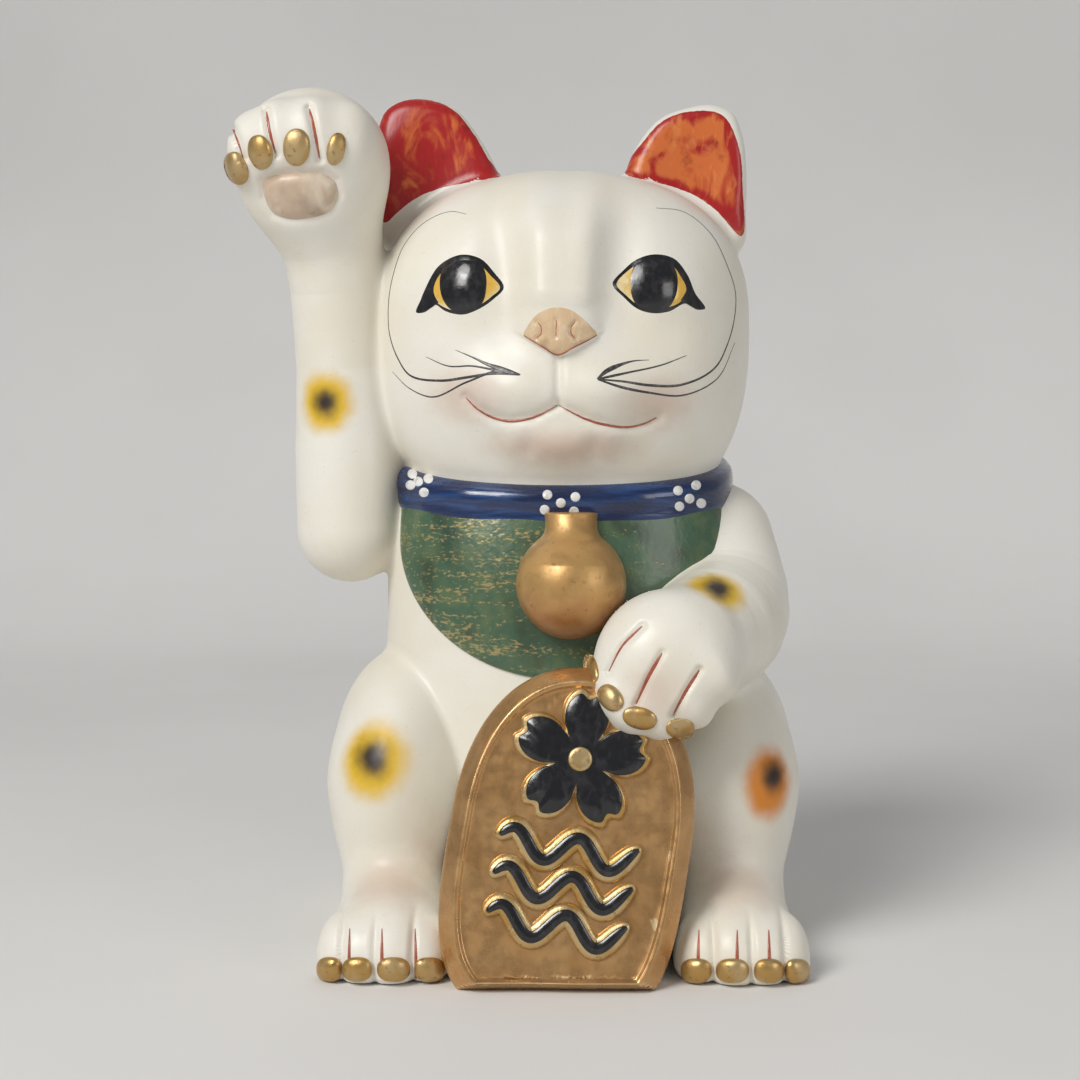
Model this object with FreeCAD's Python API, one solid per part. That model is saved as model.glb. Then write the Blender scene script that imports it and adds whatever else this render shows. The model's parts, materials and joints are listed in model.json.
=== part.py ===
"""A beckoning cat figurine in slip-cast ceramic: the castings and sprigs that a potter lutes together.

Frame: +Z up, the cat faces -Y, its raised foreleg is on the -X side. The origin is the point of the flat
underside where the cat's middle line meets the floor. Millimetres throughout.

Every big piece is a thin shell. Each one is cut by the pieces that were in place before it, so that
neighbours meet face to face along the line where the potter lutes them, and small vents join the hollows.
"""
import FreeCAD
import Part
import math
import os

from FreeCAD import Matrix, Vector

# ---------------------------------------------------------------- driving dimensions
WALL = 4.5                 # thickness of every cast wall
NECK_HEIGHT = 172.0        # floor to the neck joint under the collar
BODY_WIDTH = 160.0         # torso at its widest
BODY_DEPTH = 132.0         # torso at its deepest
HEAD_WIDTH = 145.0
HEAD_DEPTH = 114.0
HEAD_RISE = 59.0           # middle of the head to its crown
HEAD_DROP = 80.0           # middle of the head to the buried end of its lower curve
HEAD_MIDDLE = 60.0         # neck joint to the middle of the head
EAR_HEIGHT = 59.0          # buried root to tip
EAR_WIDTH = 49.0
EAR_THICKNESS = 13.0
EAR_CUP_DEPTH = 5.0        # how far the front of an ear is scooped out
COLLAR_HEIGHT = 16.0
COLLAR_THICKNESS = 6.0
COLLAR_TILT = 5.0          # degrees, the front hangs lower
BIB_THICKNESS = 2.6
BIB_HALF_WIDTH = 62.0
BIB_DROP = 73.0            # neck joint to the bib's lowest point
BELL_RADIUS = 20.0
BELL_NECK_RADIUS = 9.5
RAISED_ARM_RADIUS = 19.5
RAISED_PAW_WIDTH = 58.0
RAISED_PAW_HEIGHT = 60.0
RAISED_PAW_DEPTH = 50.0
RAISED_PAW_TOP = 320.0     # floor to the top of the raised paw
LOWERED_ARM_RADIUS = 23.0
LEG_WIDTH = 53.0
LEG_DEPTH = 104.0
LEG_HEIGHT = 90.0
LEG_MIDDLE = 62.0          # floor to the middle of the haunch
FOOT_WIDTH = 44.0
FOOT_LENGTH = 66.0
FOOT_HEIGHT = 31.0
FOOT_REACH = 103.0         # middle of the cat to the tips of the hind toes
PLAQUE_WIDTH = 84.0
PLAQUE_RISE = 56.0         # middle of the coin plaque to its top
PLAQUE_FALL = 66.0         # middle of the coin plaque to the end of its lower curve
PLAQUE_MIDDLE = 55.0       # floor to the middle of the coin plaque, along its slope
PLAQUE_FRONT = 111.0       # middle of the cat to the plaque's foot
PLAQUE_LEAN = 11.0         # degrees, the top leans back
PLAQUE_TURN = 9.5          # degrees, the top leans to the +X side
PLAQUE_BEVEL = 5.0         # width of the sloping edge
PLAQUE_EDGE = 6.0          # height of the sloping edge
RELIEF_HEIGHT = 2.2        # how far the black ornament stands out of the plaque
NAIL_RISE = 2.2            # how far a nail stands out of its toe
TAIL_RADIUS = 12.0
POUR_HOLE_RADIUS = 14.0    # the hole in the floor that the slip was poured out of
POUR_HOLE_BACK = 34.0      # middle of the cat to the middle of the pour hole
VENT_RADIUS = 4.0          # the small holes that let kiln gases out of the limbs

# ---------------------------------------------------------------- worked out from those
HALF_WIDTH = BODY_WIDTH / 2
HALF_DEPTH = BODY_DEPTH / 2
HEAD_Z = NECK_HEIGHT + HEAD_MIDDLE
HEAD_Y = -7.0
HEAD_CORNER = 2.6          # exponent of the head's rounded square outline
RING_POINTS = 24           # points round one section

# share of the neck height, share of the half width, share of the half depth, how far back the middle is
TORSO_STATIONS = (
    (0.00, 0.90, 0.88, 8.0),
    (0.05, 0.96, 0.95, 8.0),
    (0.20, 1.00, 1.00, 8.0),
    (0.42, 1.00, 1.00, 6.0),
    (0.64, 0.95, 0.92, 2.0),
    (0.82, 0.88, 0.82, -2.0),
    (1.00, 0.76, 0.70, -4.0),
    (1.05, 0.72, 0.66, -4.0),
)


def torso_section(height):
    """Half width, half depth and middle of the torso at a height, in straight steps between the stations."""
    share = height / NECK_HEIGHT
    for low, high in zip(TORSO_STATIONS, TORSO_STATIONS[1:]):
        if share <= high[0]:
            break
    along = (share - low[0]) / (high[0] - low[0])
    width, depth, middle = (a + (b - a) * along for a, b in zip(low[1:], high[1:]))
    return width * HALF_WIDTH, depth * HALF_DEPTH, middle


def chest_front(height):
    """The Y of the torso's front on the middle line."""
    _, depth, middle = torso_section(height)
    return middle - depth


# ---------------------------------------------------------------- shapes
def ring(middle, across, along, corner=2.0, start=0.0):
    """A closed smooth wire: a superellipse about a middle, with two half axes and a corner exponent. start is
    where its seam lies, in turns."""
    points = []
    for k in range(RING_POINTS):
        turn = 2 * math.pi * (k / RING_POINTS + start)
        c, s = math.cos(turn), math.sin(turn)
        reach = (abs(c) ** corner + abs(s) ** corner) ** (-1 / corner)
        points.append(middle + across * (reach * c) + along * (reach * s))
    curve = Part.BSplineCurve()
    curve.interpolate(Points=points, PeriodicFlag=True)
    return Part.Wire([curve.toShape()])


def solid_of(shape):
    """The one solid of a shape, turned the right way out."""
    found = shape.Solids[0] if shape.Solids else Part.Solid(shape.Shells[0])
    if found.Volume < 0:
        found.reverse()
    return found


def skin(rings):
    """A smooth closed solid through a row of rings."""
    return solid_of(Part.makeLoft(rings, True, False, False, 3))


def egg(middle, radii, turn=None, facing=False):
    """An ellipsoid, optionally turned about its own middle. Its poles lie along Z, or along Y if facing."""
    scale = Matrix()
    scale.scale(radii[0], radii[1], radii[2])
    ball = Part.makeSphere(1.0)
    if facing:
        ball.rotate(Vector(0, 0, 0), Vector(1, 0, 0), 90)
    shape = ball.transformGeometry(scale)
    if turn is not None:
        shape.rotate(Vector(0, 0, 0), turn[0], turn[1])
    shape.translate(middle)
    return solid_of(shape)


ROUND_END = (35.0, 60.0, 78.0)   # degrees round the ball end of a limb, where its rings lie


def limb(points, radii, reference, flat=1.0, open_start=0.0, open_end=0.0):
    """A limb of round sections along a path, with ball ends. flat squashes the sections along the second
    axis. An open end is a straight stub of that length in place of the ball."""
    count = len(points)
    tangents = []
    for k in range(count):
        ahead, behind = points[min(k + 1, count - 1)], points[max(k - 1, 0)]
        tangents.append((ahead - behind).normalize())
    stations = []
    if open_start:
        stations.append((points[0] - tangents[0] * open_start, radii[0], tangents[0]))
    else:
        for turn in reversed(ROUND_END):
            out, left = math.sin(math.radians(turn)), math.cos(math.radians(turn))
            stations.append((points[0] - tangents[0] * (radii[0] * out), radii[0] * left, tangents[0]))
    stations += list(zip(points, radii, tangents))
    if open_end:
        stations.append((points[-1] + tangents[-1] * open_end, radii[-1], tangents[-1]))
    else:
        for turn in ROUND_END:
            out, left = math.sin(math.radians(turn)), math.cos(math.radians(turn))
            stations.append((points[-1] + tangents[-1] * (radii[-1] * out), radii[-1] * left, tangents[-1]))
    rings = []
    for middle, radius, tangent in stations:
        across = reference.cross(tangent).normalize()
        along = tangent.cross(across).normalize()
        rings.append(ring(middle, across * radius, along * (radius * flat)))
    return skin(rings)


def cut(shape, *tools):
    """shape less each tool, keeping its largest solid."""
    for tool in tools:
        shape = shape.cut(tool)
    return max(shape.Solids, key=lambda s: s.Volume)


def below(height):
    """A block of everything below a height."""
    return Part.makeBox(600, 600, 200, Vector(-300, -300, height - 200))


def rod(start, end, radius):
    """A plain round rod from one point to another."""
    return Part.makeCylinder(radius, (end - start).Length, start, end - start)


def save(name, shape):
    shape.exportStep(os.path.join("parts", name + ".step"))
    solids = shape.Solids
    print(name, len(solids), "solids", round(sum(s.Volume for s in solids) / 1000, 1), "cm3",
          "valid" if shape.isValid() else "INVALID")


# ---------------------------------------------------------------- torso
def torso_form(shrink, top_extra=0.0, grow=0.0):
    """The torso's outer form, made smaller or larger all round, and lengthened at the neck."""
    rings = []
    for share, width, depth, middle in TORSO_STATIONS:
        across = Vector(width * HALF_WIDTH - shrink + grow, 0, 0)
        along = Vector(0, depth * HALF_DEPTH - shrink + grow, 0)
        rings.append(ring(Vector(0, middle, share * NECK_HEIGHT), across, along, 2.2))
    if top_extra:
        rings.append(ring(Vector(0, middle, share * NECK_HEIGHT + top_extra), across, along, 2.2))
    return skin(rings)


# ---------------------------------------------------------------- head
def head_form(shrink):
    """The head's outer form: a rounded box whose lower end runs into the neck."""
    rings = []
    for turn in (-64, -50, -36, -20, 0, 20, 36, 50, 62, 72, 80):
        lift = math.sin(math.radians(turn))
        rise = HEAD_RISE if lift > 0 else HEAD_DROP
        side = (1 - abs(lift) ** HEAD_CORNER) ** (1 / HEAD_CORNER)
        across = Vector((HEAD_WIDTH / 2 - shrink) * side, 0, 0)
        along = Vector(0, (HEAD_DEPTH / 2 - shrink) * side, 0)
        rings.append(ring(Vector(0, HEAD_Y, HEAD_Z + (rise - shrink) * lift), across, along, 2.3))
    return skin(rings)


def face_front(x, z):
    """The Y of the head's front surface at a place on the face."""
    lift = (z - HEAD_Z) / (HEAD_RISE if z > HEAD_Z else HEAD_DROP)
    side = (1 - abs(lift) ** HEAD_CORNER) ** (1 / HEAD_CORNER)
    share = abs(x) / (HEAD_WIDTH / 2 * side)
    return HEAD_Y - HEAD_DEPTH / 2 * side * (1 - share ** 2.3) ** (1 / 2.3)


# outline of an ear: share of its width out from its inner edge, share of its height above its root
EAR_OUTLINE = ((0.10, 0.03), (0.28, -0.02), (0.50, -0.04), (0.72, -0.02), (0.90, 0.03), (0.97, 0.16),
               (1.00, 0.34), (0.98, 0.60), (0.92, 0.82), (0.68, 0.99), (0.36, 0.91), (0.14, 0.64),
               (0.05, 0.42), (0.03, 0.18))
EAR_ROOT = HEAD_Z + HEAD_RISE * 0.5
EAR_INNER = HEAD_WIDTH * 0.165


def ear_ring(side, inset, y):
    """An ear's outline, drawn in by an inset, at a depth."""
    middle = Vector(side * (EAR_INNER + EAR_WIDTH / 2), y, EAR_ROOT + EAR_HEIGHT / 2)
    points = []
    for out, up in EAR_OUTLINE:
        across = (out - 0.5) * (EAR_WIDTH - 2 * inset)
        rise = (up - 0.5) * (EAR_HEIGHT - 2 * inset)
        points.append(middle + Vector(side * across, 0, rise))
    curve = Part.BSplineCurve()
    curve.interpolate(Points=points, PeriodicFlag=True)
    return Part.Wire([curve.toShape()])


def ear_form(side):
    """One ear: a rounded leaf standing on the corner of the head, scooped out in front."""
    back, front = HEAD_Y + EAR_THICKNESS * 0.6, HEAD_Y - EAR_THICKNESS * 0.4
    leaf = skin([ear_ring(side, 5.0, back), ear_ring(side, 1.6, back - 2.0), ear_ring(side, 0.0, back - 5.0),
                 ear_ring(side, 0.2, front + 1.5), ear_ring(side, 1.2, front)])
    scoop = egg(Vector(side * (EAR_INNER + EAR_WIDTH * 0.54), front, EAR_ROOT + EAR_HEIGHT * 0.46),
                (EAR_WIDTH * 0.42, EAR_CUP_DEPTH, EAR_HEIGHT * 0.47), (Vector(0, 1, 0), side * 8))
    return leaf.cut(scoop)


# ---------------------------------------------------------------- forelegs
ARM_SEAT_BODY = 5.0        # how deep the raised foreleg sits in the torso
ARM_SEAT_HEAD = 5.0        # how deep it sits in the side of the head
ELBOW_DROP = 20.0          # neck joint to the middle of the raised foreleg's elbow ball
WRIST_STUB = 8.0           # length of the wrist that reaches into the raised paw
PAW_OUT = 8.0              # how far the raised paw stands outside its wrist
RAISED_PAW_Y = -36.0


def raised_arm_path():
    """Elbow, two places up the side of the head, and the wrist."""
    elbow_z = NECK_HEIGHT - ELBOW_DROP
    wrist_z = RAISED_PAW_TOP - RAISED_PAW_HEIGHT * 0.9
    elbow_x = torso_section(elbow_z)[0] + RAISED_ARM_RADIUS - ARM_SEAT_BODY
    side_x = HEAD_WIDTH / 2 + RAISED_ARM_RADIUS - ARM_SEAT_HEAD
    return [Vector(-elbow_x, -14, elbow_z),
            Vector(-(elbow_x + side_x) / 2, -14, elbow_z + (wrist_z - elbow_z) * 0.4),
            Vector(-side_x, -18, elbow_z + (wrist_z - elbow_z) * 0.76),
            Vector(-side_x - PAW_OUT * 0.5, -26, wrist_z)]


def raised_arm_form(shrink, stub):
    radii = [RAISED_ARM_RADIUS * share - shrink for share in (1.0, 1.0, 0.95, 1.0)]
    return limb(raised_arm_path(), radii, Vector(0, 1, 0), open_end=stub)


def raised_paw_middle():
    wrist = raised_arm_path()[-1]
    return Vector(wrist.x - PAW_OUT * 0.5, RAISED_PAW_Y, RAISED_PAW_TOP - RAISED_PAW_HEIGHT / 2)


def raised_paw_form(shrink):
    half = (RAISED_PAW_WIDTH / 2 - shrink, RAISED_PAW_DEPTH / 2 - shrink, RAISED_PAW_HEIGHT / 2 - shrink)
    return egg(raised_paw_middle(), half)


def lowered_arm_path():
    """Shoulder, elbow, forearm and wrist of the foreleg that holds the plaque and reaches as far as it."""
    shoulder_z = NECK_HEIGHT - 24
    shoulder_x = torso_section(shoulder_z)[0] - 9
    return [Vector(shoulder_x, -8, shoulder_z),
            Vector(shoulder_x + 3, -24, shoulder_z - 24),
            Vector(shoulder_x - 8, 53 - PLAQUE_FRONT, shoulder_z - 32),
            Vector(shoulder_x - 22, 35 - PLAQUE_FRONT, shoulder_z - 36)]


def lowered_arm_form(shrink, stub):
    radii = [LOWERED_ARM_RADIUS * share - shrink for share in (1.0, 1.03, 0.96, 0.88)]
    return limb(lowered_arm_path(), radii, Vector(0, 0, 1), open_end=stub)


LOWERED_PAW_WIDTH = 49.0
LOWERED_PAW_LENGTH = 42.0
LOWERED_PAW_THICKNESS = 33.0
LOWERED_PAW_TURN = 30.0    # degrees, the paw points down and inwards


def lowered_paw_middle():
    wrist = lowered_arm_path()[-1]
    return wrist + Vector(-2, -8, -4)


def lowered_paw_form(shrink):
    half = (LOWERED_PAW_WIDTH / 2 - shrink,
            LOWERED_PAW_THICKNESS / 2 - shrink,
            LOWERED_PAW_LENGTH / 2 - shrink)
    return egg(lowered_paw_middle(), half, (Vector(0, 1, 0), LOWERED_PAW_TURN))


# ---------------------------------------------------------------- hind legs
LEG_X = HALF_WIDTH - 18.0  # middle of the cat to the middle of a hind leg
LEG_Y = -14.0
FOOT_Y = FOOT_LENGTH / 2 - FOOT_REACH
FOOT_Z = 10.0


def leg_form(side, shrink):
    """A haunch with its shin."""
    haunch = egg(Vector(side * LEG_X, LEG_Y, LEG_MIDDLE),
                 (LEG_WIDTH / 2 - shrink, LEG_DEPTH / 2 - shrink, LEG_HEIGHT / 2 - shrink))
    knee = Vector(side * LEG_X, LEG_Y - LEG_DEPTH / 2 + 26, LEG_MIDDLE - 6)
    ankle = Vector(side * LEG_X, knee.y - 3, FOOT_HEIGHT)
    radius = FOOT_WIDTH / 2 - 2 - shrink
    shin = limb([knee, ankle], [radius + 1.5, radius], Vector(0, 1, 0))
    return solid_of(haunch.fuse(shin))


def foot_middle(side):
    return Vector(side * LEG_X, FOOT_Y, FOOT_Z)


def foot_form(side, shrink):
    """A hind foot, flat where it rests on the floor."""
    half = (FOOT_WIDTH / 2 - shrink, FOOT_LENGTH / 2 - shrink, FOOT_HEIGHT - FOOT_Z - shrink)
    return cut(egg(foot_middle(side), half), below(shrink))


# ---------------------------------------------------------------- coin plaque
FACE_RECESS = 1.2          # how far the face lies inside its rim
RIM_WIDTH = 2.0
UPPER_ORNAMENT = 79.0      # floor to the middle of the upper ornament, along the slope
LOWER_ORNAMENT = 35.0


def plaque_ring(inset, back):
    """The plaque's outline, drawn in by an inset, at a depth behind its front."""
    points = []
    for k in range(RING_POINTS * 2):
        turn = math.pi * k / RING_POINTS
        c, s = math.cos(turn), math.sin(turn)
        corner = 2.2 if s >= 0 else 3.5
        reach = (abs(c) ** corner + abs(s) ** corner) ** (-1 / corner)
        tall = (PLAQUE_RISE if s >= 0 else PLAQUE_FALL) - inset
        points.append(Vector(reach * c * (PLAQUE_WIDTH / 2 - inset), back, PLAQUE_MIDDLE + reach * s * tall))
    curve = Part.BSplineCurve()
    curve.interpolate(Points=points, PeriodicFlag=True)
    return Part.Wire([curve.toShape()])


def placed_on_slope(shape):
    """Moves a shape from the plaque's own upright frame to its leaning place."""
    shape.rotate(Vector(0, 0, PLAQUE_MIDDLE), Vector(0, 1, 0), PLAQUE_TURN)
    shape.rotate(Vector(0, 0, 0), Vector(1, 0, 0), -PLAQUE_LEAN)
    shape.translate(Vector(3, -PLAQUE_FRONT, 0))
    return shape


def plaque_form():
    """The bevelled plaque with its recessed face, running back to the belly, and the pocket behind it."""
    back = PLAQUE_FRONT
    body = Part.makeLoft([plaque_ring(PLAQUE_BEVEL, 0), plaque_ring(0, PLAQUE_EDGE)], True, True)
    block = Part.Face(plaque_ring(0, PLAQUE_EDGE)).extrude(Vector(0, back, 0))
    face = Part.Face(plaque_ring(PLAQUE_BEVEL + RIM_WIDTH, -1)).extrude(Vector(0, 1 + FACE_RECESS, 0))
    pocket_inset = WALL + RIM_WIDTH
    pocket = Part.Face(plaque_ring(pocket_inset, FACE_RECESS + WALL)).extrude(Vector(0, 2 * back, 0))
    outer = solid_of(body.fuse(block).removeSplitter().cut(face))
    return placed_on_slope(outer), cut(placed_on_slope(pocket), below(WALL))


def blossom():
    """Five round petals about a round heart, standing out of the plaque's face."""
    petal, spread, heart = 10.2, 16.6, 4.4
    parts = []
    for k in range(5):
        turn = math.radians(90 + 72 * k)
        middle = Vector(spread * math.cos(turn), FACE_RECESS, UPPER_ORNAMENT + spread * math.sin(turn))
        parts.append(Part.makeCylinder(petal, RELIEF_HEIGHT, middle, Vector(0, -1, 0)))
    flower = parts[0].multiFuse(parts[1:]).removeSplitter()
    middle = Vector(0, FACE_RECESS, UPPER_ORNAMENT)
    flower = flower.cut(Part.makeCylinder(heart + 2, RELIEF_HEIGHT, middle, Vector(0, -1, 0)))
    heart_disc = Part.makeCylinder(heart, RELIEF_HEIGHT, middle, Vector(0, -1, 0))
    return placed_on_slope(flower.Solids[0]), placed_on_slope(heart_disc)


def waves():
    """Three wavy bars, one above another."""
    length, thick, swing, pitch, waves_across = 52.0, 6.4, 3.0, 12.4, 2
    bars = []
    for row in (-1, 0, 1):
        middle = LOWER_ORNAMENT + row * pitch
        edges = []
        for half in (thick / 2, -thick / 2):
            line = [Vector(-length / 2 + length * k / 24, FACE_RECESS,
                           middle + half + swing * math.sin(2 * math.pi * waves_across * k / 24))
                    for k in range(25)]
            curve = Part.BSplineCurve()
            curve.interpolate(line)
            edges.append(curve.toShape())
        ends = [Part.makeLine(edges[0].Vertexes[k].Point, edges[1].Vertexes[k].Point) for k in (0, -1)]
        outline = Part.Wire(Part.__sortEdges__([edges[0], ends[1], edges[1], ends[0]]))
        bars.append(Part.Face(outline).extrude(Vector(0, -RELIEF_HEIGHT, 0)))
    return placed_on_slope(Part.makeCompound(bars))


# ---------------------------------------------------------------- collar, bib and bell
BELL_X = 3.0
BELL_DROP = 37.0           # neck joint to the middle of the bell
BELL_TILT = 14.0           # degrees, the bell's neck leans in to the collar


# share of the collar's height above its middle, share of its thickness outside the neck
COLLAR_PROFILE = ((-0.50, -0.9), (-0.48, 0.3), (-0.30, 0.94), (0.0, 1.0),
                  (0.30, 0.94), (0.48, 0.3), (0.50, -0.9))


def collar_form():
    """A rounded band about the neck, its front hanging lower than its sides."""
    width, depth, middle = torso_section(NECK_HEIGHT)
    rings = []
    for rise, out in COLLAR_PROFILE:
        grow = COLLAR_THICKNESS * out
        rings.append(ring(Vector(0, middle, NECK_HEIGHT + rise * COLLAR_HEIGHT),
                          Vector(width + grow, 0, 0), Vector(0, depth + grow, 0), 2.2, 0.22))
    band = skin(rings)
    band.rotate(Vector(0, middle, NECK_HEIGHT), Vector(1, 0, 0), COLLAR_TILT)
    return band


def bib_outline():
    """A deep U, as a block that runs from in front of the cat to the middle of its chest."""
    low, straight, top = NECK_HEIGHT - BIB_DROP, NECK_HEIGHT - 24, NECK_HEIGHT + 2
    front = -BODY_DEPTH
    corners = [Vector(-BIB_HALF_WIDTH, front, straight), Vector(-BIB_HALF_WIDTH, front, top),
               Vector(BIB_HALF_WIDTH, front, top), Vector(BIB_HALF_WIDTH, front, straight)]
    sides = [Part.makeLine(a, b) for a, b in zip(corners, corners[1:])]
    curve = Part.Ellipse(Vector(BIB_HALF_WIDTH, front, straight), Vector(0, front, low),
                         Vector(0, front, straight))
    arc = Part.ArcOfEllipse(curve, -math.pi, 0).toShape()
    if arc.BoundBox.ZMax > straight + 1:
        arc = Part.ArcOfEllipse(curve, 0, math.pi).toShape()
    outline = Part.Wire(Part.__sortEdges__(sides + [arc]))
    return Part.Face(outline).extrude(Vector(0, BODY_DEPTH - 6, 0))


def bell_form(shrink):
    """A round bell with a short flared neck, turned about its own axis and tipped back to the chest."""
    radius, neck = BELL_RADIUS - shrink, BELL_NECK_RADIUS - shrink
    meet = math.sqrt(radius ** 2 - neck ** 2)
    top = BELL_DROP - 4
    ball = Part.makeSphere(radius)
    stem = Part.makeCone(neck, neck + 2, top - meet + 1, Vector(0, 0, meet - 1), Vector(0, 0, 1))
    shape = solid_of(ball.fuse(stem))
    shape.rotate(Vector(0, 0, 0), Vector(1, 0, 0), -BELL_TILT)
    z = NECK_HEIGHT - BELL_DROP
    shape.translate(Vector(BELL_X, chest_front(z) - BIB_THICKNESS - BELL_RADIUS * 0.18, z))
    return shape


# ---------------------------------------------------------------- face
EYE_SPREAD = 35.5          # middle of the face to the middle of an eye
EYE_ABOVE = 12.0           # middle of the head to the middle of an eye
EYE_WIDTH = 28.0
EYE_HEIGHT = 21.0
EYE_RISE = 1.3             # how far an eye stands out of the face
NOSE_DROP = 6.0
MUZZLE_DROP = 28.0


def eye_form(side):
    """A shallow dome laid flush on the curve of the face."""
    x, z = side * EYE_SPREAD, HEAD_Z + EYE_ABOVE
    step = 1.0
    slope = math.degrees(math.atan2(face_front(x + step, z) - face_front(x - step, z), 2 * step))
    half = (EYE_WIDTH / 2, EYE_RISE + 4, EYE_HEIGHT / 2)
    dome = egg(Vector(0, 0, 0), half, (Vector(0, 0, 1), slope), facing=True)
    dome.translate(Vector(x, face_front(x, z) + 4 * math.cos(math.radians(slope)), z))
    return dome


def muzzle_forms():
    """Two cheeks and a chin, which are cast in one with the head."""
    z = HEAD_Z - MUZZLE_DROP
    cheeks = [egg(Vector(side * 15, face_front(15, z) + 8, z), (25, 17, 17)) for side in (-1, 1)]
    chin = egg(Vector(0, face_front(0, z - 16) + 6, z - 16), (20, 12, 13))
    return cheeks + [chin]


def nose_form():
    z = HEAD_Z - NOSE_DROP
    return egg(Vector(0, face_front(0, z) + 2, z), (13, 9.5, 9), facing=True)


# ---------------------------------------------------------------- nails, pad and tail
def dome_on(middle, half, x, z, size, turn=0.0):
    """A nail: a small egg centred on the front of an egg-shaped paw, at a place seen from the front."""
    left = 1 - ((x - middle.x) / half[0]) ** 2 - ((z - middle.z) / half[2]) ** 2
    y = middle.y - half[1] * math.sqrt(max(left, 0.02))
    return egg(Vector(x, y, z), size, (Vector(0, 1, 0), turn), facing=True)


def raised_nails():
    middle = raised_paw_middle()
    half = (RAISED_PAW_WIDTH / 2, RAISED_PAW_DEPTH / 2, RAISED_PAW_HEIGHT / 2)
    places = ((-0.72, -0.10, -14), (-0.38, 0.06, -8), (0.02, 0.10, 0), (0.52, 0.09, 14))
    return [dome_on(middle, half, middle.x + u * half[0], middle.z + w * half[2],
                    (4.4, 1.5 + NAIL_RISE, 6.4), turn) for u, w, turn in places]


def lowered_nails():
    middle = lowered_paw_middle()
    along = math.radians(LOWERED_PAW_TURN)
    half = (LOWERED_PAW_WIDTH / 2, LOWERED_PAW_THICKNESS / 2, LOWERED_PAW_LENGTH / 2)
    nails = []
    for u, w in ((-0.93, -0.12), (-0.62, -0.62), (-0.10, -0.86), (0.44, -0.78)):
        deep = math.sqrt(max(1 - u * u - w * w, 0.02))
        out, down = u * half[0], w * half[2]
        place = Vector(out * math.cos(along) + down * math.sin(along), -half[1] * deep,
                       down * math.cos(along) - out * math.sin(along))
        nails.append(egg(middle + place, (4.4, 1.5 + NAIL_RISE, 3.4), facing=True))
    return nails


def foot_nails(side):
    middle = foot_middle(side)
    half = (FOOT_WIDTH / 2, FOOT_LENGTH / 2, FOOT_HEIGHT - FOOT_Z)
    return [dome_on(middle, half, middle.x + side * u * half[0], 4.6, (4.6, 1.5 + NAIL_RISE, 4.4))
            for u in (-0.84, -0.29, 0.30, 0.82)]


def pad_form():
    middle = raised_paw_middle()
    place = Vector(middle.x + 1.5, middle.y - RAISED_PAW_DEPTH * 0.42, middle.z - RAISED_PAW_HEIGHT * 0.24)
    return egg(place,
               (15, 6, 9), facing=True)


def torso_back(x, z):
    """The Y of the torso's back surface."""
    width, depth, middle = torso_section(z)
    return middle + depth * (1 - (abs(x) / width) ** 2.2) ** (1 / 2.2)


def tail_form():
    """A short tail that lies round the foot of the back and turns up."""
    path = [Vector(x, torso_back(x, z) + TAIL_RADIUS * 0.25, z)
            for x, z in ((36, TAIL_RADIUS + 2), (10, TAIL_RADIUS + 1), (-14, 20), (-30, 40), (-30, 62))]
    radii = [TAIL_RADIUS * share for share in (1.0, 1.0, 1.0, 0.95, 0.85)]
    return limb(path, radii, Vector(0, 1, 0))


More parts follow.
